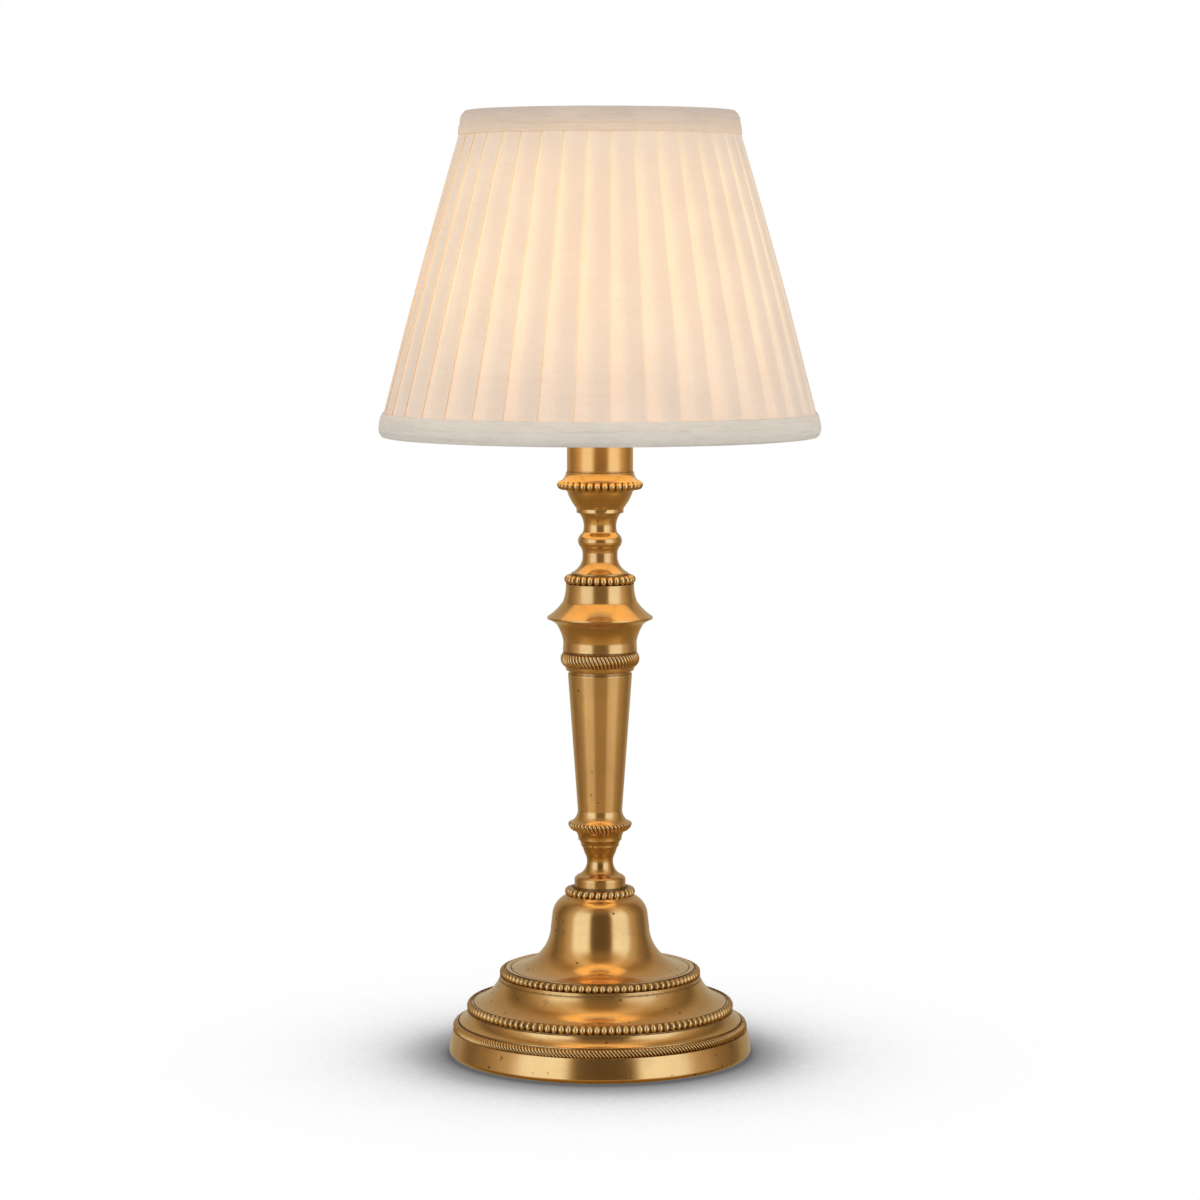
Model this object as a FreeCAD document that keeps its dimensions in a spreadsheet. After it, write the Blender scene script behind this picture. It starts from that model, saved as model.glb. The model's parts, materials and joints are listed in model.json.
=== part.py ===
"""A candlestick lamp with a knife-pleated empire shade, in millimetres.

The stick is a stack of turned and cast brass pieces, strung on a threaded tube that pulls them against a
weight in the foot. The candle tube hides a small Edison lampholder, which carries the bulb and the shade.
The origin is the centre of the base on the floor, +Z is up and the front is -Y.
"""
import FreeCAD, Part
import Sketcher
import math
import os

SIZES = {
    # Fits and walls
    "casting_wall": 2.6,          # wall of the hollow base
    "seat_clearance": 0.05,       # between a ring or tube and the seat that it is pushed on
    "running_clearance": 0.3,     # between pieces that move past each other
    "laying_gap": 0.1,            # between pieces that lie on each other and still move

    # Threaded tube through the stick, with its nuts and the weight
    "rod_radius": 4.9,
    "rod_bore_radius": 3.5,
    "rod_clearance": 0.4,
    "rod_tail": 1.0,              # stands out below the nut
    "rod_reach": 16.8,            # stands above the floor of the candle cup
    "nut_height": 3.5,
    "nut_width": 17.0,
    "top_nut_height": 4.0,
    "top_nut_width": 14.0,
    "lock_washer_height": 0.7,
    "lock_washer_radius": 8.0,
    "washer_height": 1.4,
    "washer_radius": 11.0,
    "weight_height": 8.0,
    "weight_edge_gap": 0.4,
    "weight_ledge": 1.8,
    "weight_ledge_depth": 2.1,    # the ledge lies this far under the lower bead row

    # Felt and foot
    "felt_height": 2.0,
    "felt_ledge": 2.0,
    "felt_edge_gap": 0.4,
    "rim_lift": 0.6,              # the metal rim clears the floor
    "foot_radius": 70.4,
    "foot_round": 2.0,
    "foot_height": 12.0,
    "foot_taper": 1.8,
    "foot_wall": 5.5,
    "step_rise": 4.1,             # above the foot's side
    "step_inset": 4.6,            # insets are from the foot's radius
    "ledge_rise": 5.0,            # above the step
    "ledge_inset": 8.5,

    # Rings laid round the base
    "ring_depth": 1.9,
    "foot_rope_height": 2.9,
    "foot_rope_inset": 2.4,
    "foot_bead_height": 3.4,
    "foot_bead_inset": 8.6,
    "tier_bead_height": 2.8,
    "tier_bead_radius": 46.5,
    "dome_ring_height": 2.8,
    "dome_ring_radius": 16.0,

    # Cove and dome
    "cove_foot_inset": 10.7,
    "cove_head_radius": 46.8,
    "cove_head_drop": 1.2,        # under the upper bead row
    "tier_rise": 16.1,            # of the upper bead row above the lower one
    "dome_foot_radius": 44.0,
    "dome_foot_rise": 0.6,        # above the upper bead row
    "dome_waist_radius": 22.9,
    "dome_waist_drop": 15.0,      # drops are from the top of the base
    "dome_shoulder_radius": 22.2,
    "dome_shoulder_drop": 9.0,
    "dome_head_radius": 16.9,
    "dome_head_drop": 1.0,
    "dome_top_radius": 15.8,
    "base_height": 75.0,

    # Cord bushing and earth screw
    "bushing_height": 6.4,
    "bushing_radius": 4.0,
    "bushing_bore_radius": 3.1,
    "bushing_flange_radius": 5.0,
    "bushing_flange": 1.4,
    "bushing_tail": 1.2,
    "earth_screw_radius": 2.0,
    "earth_head_radius": 3.8,
    "earth_head_height": 2.4,
    "earth_screw_length": 6.0,
    "earth_screw_place": 34.0,

    # Lower knop
    "knop_height": 30.0,
    "knop_collar_radius": 11.9,
    "knop_collar_height": 7.4,
    "knop_lip_radius": 9.6,
    "knop_lip_height": 9.4,
    "knop_waist_radius": 7.1,
    "knop_waist_height": 19.3,
    "knop_step_radius": 8.8,
    "knop_step_height": 22.8,
    "knop_tier_radius": 10.1,
    "knop_tier_height": 25.8,
    "knop_top_radius": 11.4,
    "knop_step": 0.5,
    "knop_band": 0.9,

    # Lower rope ring and column
    "lower_rope_height": 4.0,
    "lower_rope_foot_radius": 11.6,
    "lower_rope_radius": 14.6,
    "lower_rope_lip": 1.0,
    "column_spigot_radius": 8.0,
    "column_height": 73.0,        # above the lower rope ring
    "column_foot_radius": 13.8,
    "column_flare": 5.4,
    "column_waist_radius": 10.3,
    "column_head_radius": 14.9,
    "column_head_drop": 3.4,
    "column_groove": 0.6,
    "column_cap_drop": 2.0,
    "column_cap_radius": 15.6,
    "column_top_radius": 16.2,

    # Upper rope ring and capital
    "upper_rope_height": 6.0,
    "upper_rope_foot_radius": 16.3,
    "upper_rope_top_radius": 17.3,
    "capital_spigot_radius": 10.0,
    "capital_height": 32.4,       # above the upper rope ring
    "capital_foot_radius": 17.2,
    "capital_groove": 0.4,
    "capital_cove_height": 5.5,
    "capital_cove_radius": 17.0,
    "capital_neck_height": 13.6,
    "capital_neck_radius": 20.2,
    "flange_radius": 24.6,
    "flange_height": 16.0,
    "flange_edge": 1.0,
    "capital_slope_height": 24.0,
    "capital_slope_radius": 17.2,
    "capital_top_radius": 15.8,

    # Bead ring on the capital and upper knop
    "capital_bead_height": 3.8,
    "capital_bead_radius": 16.3,
    "upper_spigot_radius": 12.3,
    "upper_height": 29.0,         # above the bead ring
    "upper_plate_radius": 13.2,
    "upper_plate_height": 1.2,
    "upper_waist_radius": 8.1,
    "upper_waist_height": 7.8,
    "upper_waist_top": 10.6,
    "torus_foot_radius": 9.0,
    "torus_foot_height": 13.1,
    "torus_top_height": 18.8,
    "upper_neck_radius": 7.9,
    "upper_neck_height": 20.0,
    "upper_top_radius": 9.8,

    # Candle cup, its bead ring and the candle tube
    "cup_fillet_radius": 10.9,
    "cup_fillet_height": 2.0,
    "bowl_radius": 15.4,
    "bowl_height": 10.4,
    "cup_ring_drop": 7.8,         # the ring's foot lies this far under the cup's rim
    "cup_ring_height": 3.6,
    "cup_ring_radius": 19.6,
    "cup_neck_radius": 16.2,
    "cup_rim_radius": 18.2,
    "cup_height": 18.8,
    "cup_floor_depth": 5.8,
    "tube_radius": 15.25,
    "tube_wall": 0.8,
    "tube_length": 39.8,

    # Lampholder
    "holder_cap_drop": 30.0,      # foot of the cap under the tube's top
    "holder_cap_height": 8.0,
    "holder_cap_radius": 13.6,
    "holder_cap_foot_radius": 8.5,
    "skirt_radius": 14.0,
    "skirt_wall": 1.6,
    "skirt_length": 24.0,
    "thread_length": 17.0,
    "thread_rings": 8,
    "thread_depth": 0.5,
    "seat_radius": 17.0,
    "seat_height": 2.3,
    "insulator_height": 11.0,
    "insulator_rise": 7.0,        # its top above the tube's top
    "stud_radius": 1.2,
    "stud_head_radius": 3.0,
    "stud_head_height": 0.8,
    "stud_tail": 1.0,
    "terminal_place": 7.5,
    "terminal_radius": 1.5,
    "terminal_head_radius": 2.4,
    "terminal_head_height": 1.8,
    "terminal_length": 7.0,
    "shell_height": 18.4,
    "shell_wall": 0.35,
    "shell_flange_height": 0.6,

    # Push-bar switch
    "bar_drop": 9.0,              # the bar's axis under the tube's top
    "bar_radius": 2.0,
    "bar_length": 44.0,
    "bar_travel": 5.0,
    "bar_end_radius": 2.8,
    "bar_end_length": 2.0,
    "switch_clip_radius": 3.1,
    "switch_clip_length": 4.0,

    # Shade ring of the holder
    "shade_ring_radius": 19.0,
    "shade_ring_height": 8.0,
    "shade_ring_lip": 1.6,

    # Bulb
    "thread_pitch": 2.82,
    "bulb_thread_radius": 6.945,
    "bulb_root_radius": 6.3,
    "bulb_cap_wall": 0.35,
    "bulb_cap_height": 17.0,
    "bulb_threads": 4,
    "tip_radius": 2.2,
    "tip_button": 0.8,
    "tip_height": 3.2,
    "tip_bead_radius": 5.4,
    "glass_wall": 0.8,
    "glass_neck_radius": 5.8,
    "glass_neck_length": 5.0,
    "glass_radius": 17.5,
    "glass_belly_height": 33.0,
    "glass_height": 82.0,
    "glass_tip_radius": 2.4,
    "stem_radius": 2.2,
    "stem_height": 22.0,
    "stem_foot_radius": 4.8,
    "stem_button_radius": 3.4,
    "filament_height": 9.0,
    "filament_radius": 2.8,
    "filament_wire": 0.25,

    # Shade
    "shade_recess": 19.8,         # the shade's lower edge under the seat of its fitter
    "shade_height": 148.7,
    "cover_foot_radius": 102.4,   # fold edges, at the shade's lower edge
    "cover_head_radius": 61.4,    # fold edges, at the shade's upper edge
    "cover_foot_inset": 4.5,      # the cover starts this far above the lower edge
    "cover_head_inset": 3.0,
    "cover_thickness": 1.5,
    "fold_depth": 0.9,
    "fold_soft": 0.25,            # share of the underlap over which the fold rises
    "pleat_count": 39,
    "pleat_underlap": 9.2,
    "pleat_start": 2.1,           # angle of the first fold from the front, at the lower edge
    "pleat_twist": 1.8,           # angle by which a fold leans over its height
    "lining_thickness": 0.6,
    "lining_foot_inset": 1.9,
    "lining_head_inset": 1.2,
    "wire_radius": 1.5,
    "wire_foot_inset": 3.4,       # centre of the lower wire above the lower edge
    "wire_head_inset": 2.9,
    "fitter_radius": 21.0,
    "fitter_height": 1.5,
    "arm_count": 3,
    "arm_radius": 1.4,
    "trim_height": 11.0,
    "trim_tape": 0.6,
    "trim_swell": 0.6,
    "trim_head_swell": 1.2,
    "trim_foot_fold": 1.7,        # the lower trim ends under the frame's arms
    "trim_head_fold": 8.0,        # height of the upper trim inside the shade
}

# Shape of a round stretch: its rise over half its chord, as in tan(turn / 4)
ROUND = 0.9                       # nearly a half circle
QUARTER = math.tan(math.pi / 8)
SOFT = 0.25
GENTLE = 0.2
SLIGHT = 0.1
FAINT = 0.04
FULL_TURN = 360.0
TINY = 1e-9

doc = FreeCAD.newDocument("CandlestickLamp")
made = {}


# ---------------------------------------------------------------- sizes

class Size:
    """A number that also knows the sheet expression that it comes from."""

    def __init__(self, value, text):
        self.value = value
        self.text = text

    def joined(self, sign, other, value):
        return Size(value, f"({self.text} {sign} {other.text})")

    def __add__(self, other):
        other = as_size(other)
        return self.joined("+", other, self.value + other.value)

    def __radd__(self, other):
        return as_size(other) + self

    def __sub__(self, other):
        other = as_size(other)
        return self.joined("-", other, self.value - other.value)

    def __rsub__(self, other):
        return as_size(other) - self

    def __mul__(self, other):
        other = as_size(other)
        return self.joined("*", other, self.value * other.value)

    def __rmul__(self, other):
        return as_size(other) * self

    def __truediv__(self, other):
        other = as_size(other)
        return self.joined("/", other, self.value / other.value)

    def __neg__(self):
        return 0.0 - self

    def root(self):
        return Size(math.sqrt(self.value), f"sqrt({self.text})")


def as_size(number):
    """The number as a Size, whether it is one or a plain number."""
    if isinstance(number, Size):
        return number
    return Size(float(number), f"{float(number):.9f}")


class Sheet:
    """The spreadsheet of driving sizes. Each alias is also an attribute, as a Size."""

    def __init__(self, sizes):
        cells = doc.addObject("Spreadsheet::Sheet", "Sizes")
        for row, (name, value) in enumerate(sizes.items(), start=1):
            cells.set(f"A{row}", name)
            cells.set(f"B{row}", str(value))
            cells.setAlias(f"B{row}", name)
            setattr(self, name, Size(float(value), f"Sizes.{name}"))


size = Sheet(SIZES)
doc.recompute()


# ---------------------------------------------------------------- drawing

def raised(item, height):
    """Binds an object's height above the floor."""
    height = as_size(height)
    item.Placement.Base.z = height.value
    item.setExpression("Placement.Base.z", height.text)


def finished(name, item, height):
    """Names a sub-part, sets its height and keeps it for the hand-over."""
    item.Label = name
    raised(item, height)
    made[name] = item
    return item


def origin_plane(body, role):
    return next(plane for plane in body.Origin.OriginFeatures if plane.Role == role)


def new_sketch(body, name, role):
    sketch = body.newObject("Sketcher::SketchObject", name)
    sketch.AttachmentSupport = [(origin_plane(body, role), "")]
    sketch.MapMode = "FlatFace"
    return sketch


def bound(sketch, kind, places, number):
    """Adds a constraint whose value is bound to the sheet."""
    index = sketch.addConstraint(Sketcher.Constraint(kind, *places, number.value))
    sketch.setExpression(f"Constraints[{index}]", number.text)


def pinned(sketch, edge, end, across, up):
    """Holds one end of an edge at its distances across and up from the sketch's origin."""
    vertical_axis = -2
    origin = (-1, 1)
    if abs(across.value) < TINY:
        sketch.addConstraint(Sketcher.Constraint("PointOnObject", edge, end, vertical_axis))
    else:
        bound(sketch, "DistanceX", (*origin, edge, end), across)
    bound(sketch, "DistanceY", (*origin, edge, end), up)


def arc_radius(start, end, bulge):
    """The radius of an arc that swells by bulge times half its chord."""
    across = end[0] - start[0]
    up = end[1] - start[1]
    chord = (across * across + up * up).root()
    return chord * ((1 + bulge * bulge) / (4 * abs(bulge)))


def drawn_arc(start, end, bulge, radius):
    """An arc from start to end, anticlockwise where bulge is positive."""
    first = FreeCAD.Vector(start[0].value, start[1].value, 0)
    last = FreeCAD.Vector(end[0].value, end[1].value, 0)
    if bulge < 0:
        first, last = last, first
    chord = last - first
    left = FreeCAD.Vector(-chord.y, chord.x, 0) * 0.5
    centre = (first + last) * 0.5 + left * ((1 - bulge * bulge) / (2 * abs(bulge)))
    from_angle = math.atan2(first.y - centre.y, first.x - centre.x)
    to_angle = math.atan2(last.y - centre.y, last.x - centre.x)
    if to_angle <= from_angle:
        to_angle += 2 * math.pi
    circle = Part.Circle(centre, FreeCAD.Vector(0, 0, 1), radius.value)
    return Part.ArcOfCircle(circle, from_angle, to_angle)


def draw_outline(sketch, outline):
    """A closed outline of (across, up) corners. A third number swells the stretch that follows."""
    corners = [(as_size(corner[0]), as_size(corner[1])) for corner in outline]
    bulges = [corner[2] if len(corner) == 3 else 0.0 for corner in outline]
    ends = []
    for index, start in enumerate(corners):
        end = corners[(index + 1) % len(corners)]
        bulge = bulges[index]
        if bulge:
            radius = arc_radius(start, end, bulge)
            edge = sketch.addGeometry(drawn_arc(start, end, bulge, radius), False)
            bound(sketch, "Radius", (edge,), radius)
        else:
            here = FreeCAD.Vector(start[0].value, start[1].value, 0)
            there = FreeCAD.Vector(end[0].value, end[1].value, 0)
            edge = sketch.addGeometry(Part.LineSegment(here, there), False)
        ends.append((edge, 2, 1) if bulge < 0 else (edge, 1, 2))
    for index, (edge, first, last) in enumerate(ends):
        before, _, before_last = ends[index - 1]
        sketch.addConstraint(Sketcher.Constraint("Coincident", before, before_last, edge, first))
        pinned(sketch, edge, first, *corners[index])


def turned_body(name, outline):
    """A body turned about its upright axis from half an outline of (radius, height) corners."""
    body = doc.addObject("PartDesign::Body", name)
    sketch = new_sketch(body, f"{name}_outline", "XZ_Plane")
    draw_outline(sketch, outline)
    turn = body.newObject("PartDesign::Revolution", f"{name}_turn")
    turn.Profile = sketch
    turn.ReferenceAxis = (sketch, ["V_Axis"])
    turn.Angle = FULL_TURN
    sketch.Visibility = False
    return body


def turned(name, height, outline):
    """A turned sub-part, seated at a height above the floor."""
    return finished(name, turned_body(name, outline), height)


def washer(name, height, bore, radius, thickness):
    """A flat ring."""
    return turned(name, height, [(bore, 0), (radius, 0), (radius, thickness), (bore, thickness)])


def ornament_ring(name, height, bore, radius, thickness):
    """The plain half-round ring that a row of beads or a rope is cut from."""
    spine = radius - thickness / 2 * ROUND
    return turned(name, height, [
        (bore, 0), (spine, 0, ROUND), (spine, thickness), (bore, thickness)])


def round_hole(body, name, radius, length, start, axis, angle):
    """Cuts a round hole that starts at a place of (x, y, z) and runs along Z turned about an axis."""
    hole = body.newObject("PartDesign::SubtractiveCylinder", name)
    hole.Placement = FreeCAD.Placement(
        FreeCAD.Vector(*(place.value for place in start)), FreeCAD.Rotation(axis, angle))
    hole.setExpression("Radius", radius.text)
    hole.setExpression("Height", length.text)
    for letter, place in zip("xyz", start):
        hole.setExpression(f"Placement.Base.{letter}", place.text)
    return hole


def bound_cylinder(name, radius, length):
    """A cylinder on its own axis with bound sizes."""
    cylinder = doc.addObject("Part::Cylinder", name)
    cylinder.setExpression("Radius", radius.text)
    cylinder.setExpression("Height", length.text)
    return cylinder


def hex_nut(name, height, width, thickness, bore):
    """A hexagonal nut on the threaded tube."""
    block = doc.addObject("Part::Prism", f"{name}_block")
    block.Polygon = 6
    corner = width / (2 * math.cos(math.pi / 6))
    block.setExpression("Circumradius", corner.text)
    block.setExpression("Height", thickness.text)
    nut = doc.addObject("Part::Cut", name)
    nut.Base = block
    nut.Tool = bound_cylinder(f"{name}_bore", bore, thickness)
    return finished(name, nut, height)


X_AXIS = FreeCAD.Vector(1, 0, 0)
Y_AXIS = FreeCAD.Vector(0, 1, 0)
Z_AXIS = FreeCAD.Vector(0, 0, 1)
nothing = as_size(0)
strung_bore = size.rod_radius + size.rod_clearance


# ---------------------------------------------------------------- levels above the floor

rope_top = size.foot_height + size.foot_rope_height
step_height = size.foot_height + size.step_rise
ledge_height = step_height + size.ledge_rise
bead_top = ledge_height + size.foot_bead_height
tier_height = ledge_height + size.tier_rise
tier_top = tier_height + size.tier_bead_height
cove_head_height = tier_height - size.cove_head_drop
dome_waist_height = size.base_height - size.dome_waist_drop
dome_shoulder_height = size.base_height - size.dome_shoulder_drop
weight_top = ledge_height - size.weight_ledge_depth
weight_foot = weight_top - size.weight_height
washer_foot = weight_foot - size.washer_height
lock_foot = washer_foot - size.lock_washer_height
nut_foot = lock_foot - size.nut_height
rod_foot = nut_foot - size.rod_tail
knop_foot = size.base_height
column_foot = knop_foot + size.knop_height
capital_foot = column_foot + size.lower_rope_height + size.column_height
upper_foot = capital_foot + size.upper_rope_height + size.capital_height
cup_foot = upper_foot + size.capital_bead_height + size.upper_height
cup_floor = cup_foot + size.cup_height - size.cup_floor_depth
tube_top = cup_floor + size.tube_length
shade_seat = tube_top + size.seat_height
insulator_top = tube_top + size.insulator_rise
bulb_foot = insulator_top + size.stud_head_height + size.laying_gap
shade_foot = shade_seat - size.shade_recess


# ---------------------------------------------------------------- base

foot_rope_radius = size.foot_radius - size.foot_rope_inset
foot_bead_radius = size.foot_radius - size.foot_bead_inset
foot_bore = size.foot_radius - size.foot_wall
felt_bore = foot_bore + size.felt_ledge
weight_bore = foot_bead_radius - size.ring_depth - size.casting_wall
ledge_bore = weight_bore + size.weight_ledge


def base_outside():
    """The outside of the base, from the rim up to the seat of the knop."""
    rope_seat = foot_rope_radius - size.ring_depth
    bead_seat = foot_bead_radius - size.ring_depth
    tier_seat = size.tier_bead_radius - size.ring_depth
    step_radius = size.foot_radius - size.step_inset
    return [
        (felt_bore, size.rim_lift),
        (size.foot_radius - size.foot_round, size.rim_lift, QUARTER),
        (size.foot_radius, size.rim_lift + size.foot_round, FAINT),
        (size.foot_radius - size.foot_taper, size.foot_height),
        (rope_seat, size.foot_height),
        (rope_seat, rope_top),
        (step_radius, rope_top),
        (step_radius, step_height, -SOFT),
        (size.foot_radius - size.ledge_inset, ledge_height),
        (bead_seat, ledge_height),
        (bead_seat, bead_top),
        (size.foot_radius - size.cove_foot_inset, bead_top, -SOFT),
        (size.cove_head_radius, cove_head_height),
        (size.cove_head_radius, tier_height),
        (tier_seat, tier_height),
        (tier_seat, tier_top),
        (size.dome_foot_radius, tier_top),
        (size.dome_foot_radius, tier_top + size.dome_foot_rise, -QUARTER),
        (size.dome_waist_radius, dome_waist_height),
        (size.dome_shoulder_radius, dome_shoulder_height, SOFT),
        (size.dome_head_radius, size.base_height - size.dome_head_drop),
        (size.dome_top_radius, size.base_height),
    ]


def base_inside():
    """The hollow of the base, from the bore in its top down to the rim."""
    wall = size.casting_wall
    return [
        (strung_bore, size.base_height),
        (strung_bore, size.base_height - wall),
        (size.dome_head_radius - wall, size.base_height - wall, -SOFT),
        (size.dome_shoulder_radius - wall, dome_shoulder_height),
        (size.dome_waist_radius - wall, dome_waist_height, QUARTER),
        (size.dome_foot_radius - wall, tier_top - wall),
        (size.cove_head_radius - wall, cove_head_height - wall / 2, SOFT),
        (weight_bore, ledge_height),
        (weight_bore, weight_top),
        (ledge_bore, weight_top),
        (ledge_bore, rope_top),
        (foot_bore, size.foot_height),
        (foot_bore, size.felt_height),
        (felt_bore, size.felt_height),
    ]


def build_base_shell():
    shell = turned("base_shell", nothing, base_outside() + base_inside())
    hole_start = (nothing, foot_bore - size.foot_wall, size.bushing_height)
    round_hole(shell, "cord_hole", size.bushing_radius + size.seat_clearance, size.foot_wall * 3,
               hole_start, X_AXIS, -90)


def base_ring(name, height, radius, thickness):
    """An ornament ring laid in its seat round the base."""
    bore = radius - size.ring_depth + size.seat_clearance
    ornament_ring(name, height, bore, radius, thickness)


def build_base_rings():
    base_ring("foot_rope_band", size.foot_height, foot_rope_radius, size.foot_rope_height)
    base_ring("foot_bead_ring", ledge_height, foot_bead_radius, size.foot_bead_height)
    base_ring("tier_bead_ring", tier_height, size.tier_bead_radius, size.tier_bead_height)
    ornament_ring("dome_bead_ring", knop_foot, size.knop_collar_radius + size.seat_clearance,
                  size.dome_ring_radius, size.dome_ring_height)


def build_felt_pad():
    radius = felt_bore - size.felt_edge_gap
    turned("felt_pad", nothing, [(0, 0), (radius, 0), (radius, size.felt_height), (0, size.felt_height)])


def build_base_weight():
    weight = turned("base_weight", weight_foot, [
        (strung_bore, 0),
        (ledge_bore - size.weight_edge_gap, 0),
        (ledge_bore - size.weight_edge_gap, size.weight_height),
        (strung_bore, size.weight_height)])
    hole_start = (size.earth_screw_place, nothing, -size.earth_screw_length)
    round_hole(weight, "earth_hole", size.earth_screw_radius + size.seat_clearance,
               size.earth_screw_length * 2 + size.seat_clearance, hole_start, Z_AXIS, 0)


def build_base_fastenings():
    hex_nut("bottom_nut", nut_foot, size.nut_width, size.nut_height, size.rod_radius)
    washer("lock_washer", lock_foot, size.rod_radius + size.seat_clearance,
           size.lock_washer_radius, size.lock_washer_height)
    washer("weight_washer", washer_foot, strung_bore, size.washer_radius, size.washer_height)


def build_tie_rod():
    rod_top = cup_floor + size.rod_reach
    washer("tie_rod", rod_foot, size.rod_bore_radius, size.rod_radius, rod_top - rod_foot)


def build_earth_screw():
    """A pan-head screw in the underside of the weight, for the earth wire."""
    screw = turned_body("earth_screw", [
        (0, -size.earth_head_height),
        (size.earth_head_radius, -size.earth_head_height),
        (size.earth_head_radius, 0),
        (size.earth_screw_radius, 0),
        (size.earth_screw_radius, size.earth_screw_length),
        (0, size.earth_screw_length)])
    screw.setExpression("Placement.Base.x", size.earth_screw_place.text)
    finished("earth_screw", screw, weight_foot)


def build_cord_bushing():
    """A flanged sleeve in the back of the foot. It is drawn upright and laid along +Y."""
    sleeve = size.foot_wall + size.bushing_tail
    bushing = turned_body("cord_bushing", [
        (size.bushing_bore_radius, 0),
        (size.bushing_radius, 0),
        (size.bushing_radius, sleeve),
        (size.bushing_flange_radius, sleeve),
        (size.bushing_flange_radius, sleeve + size.bushing_flange),
        (size.bushing_bore_radius, sleeve + size.bushing_flange)])
    bushing.Placement = FreeCAD.Placement(FreeCAD.Vector(0, 0, 0), FreeCAD.Rotation(X_AXIS, -90))
    bushing.setExpression("Placement.Base.y", (foot_bore - size.bushing_tail).text)
    finished("cord_bushing", bushing, size.bushing_height)


# ---------------------------------------------------------------- stick

def build_lower_knop():
    step_top_height = size.knop_step_height + size.knop_band
    tier_top_height = size.knop_tier_height + size.knop_band
    turned("lower_knop", knop_foot, [
        (strung_bore, 0),
        (size.knop_collar_radius, 0),
        (size.knop_collar_radius, size.knop_collar_height, SOFT),
        (size.knop_lip_radius, size.knop_lip_height, -QUARTER),
        (size.knop_waist_radius, size.knop_waist_height),
        (size.knop_step_radius - size.knop_step, size.knop_step_height),
        (size.knop_step_radius, size.knop_step_height),
        (size.knop_step_radius, step_top_height),
        (size.knop_tier_radius - size.knop_step, size.knop_tier_height),
        (size.knop_tier_radius, size.knop_tier_height),
        (size.knop_tier_radius, tier_top_height, -SLIGHT),
        (size.knop_top_radius, size.knop_height),
        (strung_bore, size.knop_height)])


def build_lower_rope_ring():
    bore = size.column_spigot_radius + size.seat_clearance
    turned("lower_rope_ring", column_foot, [
        (bore, 0),
        (size.lower_rope_foot_radius, 0, SOFT),
        (size.lower_rope_radius, size.lower_rope_height - size.lower_rope_lip, QUARTER),
        (size.lower_rope_radius - size.lower_rope_lip / 2, size.lower_rope_height),
        (bore, size.lower_rope_height)])


def build_column():
    foot = size.lower_rope_height
    top = foot + size.column_height
    head = top - size.column_head_drop
    cap = top - size.column_cap_drop
    turned("column", column_foot, [
        (strung_bore, 0),
        (size.column_spigot_radius, 0),
        (size.column_spigot_radius, foot),
        (size.column_foot_radius, foot, -SOFT),
        (size.column_waist_radius, foot + size.column_flare),
        (size.column_head_radius, head),
        (size.column_head_radius - size.column_groove, head),
        (size.column_head_radius - size.column_groove, cap),
        (size.column_cap_radius, cap),
        (size.column_top_radius, top),
        (strung_bore, top)])


def build_upper_rope_ring():
    bore = size.capital_spigot_radius + size.seat_clearance
    turned("upper_rope_ring", capital_foot, [
        (bore, 0),
        (size.upper_rope_foot_radius, 0, QUARTER),
        (size.upper_rope_top_radius, size.upper_rope_height),
        (bore, size.upper_rope_height)])


def build_capital():
    foot = size.upper_rope_height
    top = foot + size.capital_height
    groove = size.capital_groove
    turned("capital", capital_foot, [
        (strung_bore, 0),
        (size.capital_spigot_radius, 0),
        (size.capital_spigot_radius, foot),
        (size.capital_foot_radius - groove, foot),
        (size.capital_foot_radius - groove, foot + groove),
        (size.capital_foot_radius, foot + groove * 2),
        (size.capital_cove_radius, foot + size.capital_cove_height, -SLIGHT),
        (size.capital_neck_radius, foot + size.capital_neck_height, -SLIGHT),
        (size.flange_radius - size.flange_edge / 4, foot + size.flange_height, SOFT),
        (size.flange_radius - size.flange_edge / 4, foot + size.flange_height + size.flange_edge, -SLIGHT),
        (size.capital_slope_radius, foot + size.capital_slope_height, -SLIGHT),
        (size.capital_top_radius, top),
        (strung_bore, top)])


def build_capital_bead_ring():
    ornament_ring("capital_bead_ring", upper_foot, size.upper_spigot_radius + size.seat_clearance,
                  size.capital_bead_radius, size.capital_bead_height)


def build_upper_knop():
    foot = size.capital_bead_height
    torus_foot = foot + size.torus_foot_height
    torus_top = foot + size.torus_top_height
    turned("upper_knop", upper_foot, [
        (strung_bore, 0),
        (size.upper_spigot_radius, 0),
        (size.upper_spigot_radius, foot),
        (size.upper_plate_radius, foot),
        (size.upper_plate_radius, foot + size.upper_plate_height, -SOFT),
        (size.upper_waist_radius, foot + size.upper_waist_height),
        (size.upper_waist_radius, foot + size.upper_waist_top, -SLIGHT),
        (size.torus_foot_radius, torus_foot, QUARTER),
        (size.torus_foot_radius, torus_top),
        (size.upper_neck_radius, foot + size.upper_neck_height, -SOFT),
        (size.upper_top_radius, foot + size.upper_height),
        (strung_bore, foot + size.upper_height)])


def build_candle_cup():
    ring_foot = size.cup_height - size.cup_ring_drop
    ring_top = ring_foot + size.cup_ring_height
    floor = size.cup_height - size.cup_floor_depth
    seat = size.tube_radius + size.seat_clearance
    turned("candle_cup", cup_foot, [
        (strung_bore, 0),
        (size.cup_fillet_radius, 0),
        (size.cup_fillet_radius, size.cup_fillet_height, SLIGHT),
        (size.bowl_radius, size.bowl_height),
        (size.cup_neck_radius, ring_foot),
        (size.cup_neck_radius, ring_top),
        (size.cup_rim_radius, ring_top, -SOFT),
        (seat + size.tube_wall / 2, size.cup_height),
        (seat, size.cup_height),
        (seat, floor),
        (strung_bore, floor)])
    ornament_ring("cup_bead_ring", cup_foot + ring_foot, size.cup_neck_radius + size.seat_clearance,
                  size.cup_ring_radius, size.cup_ring_height)


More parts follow.
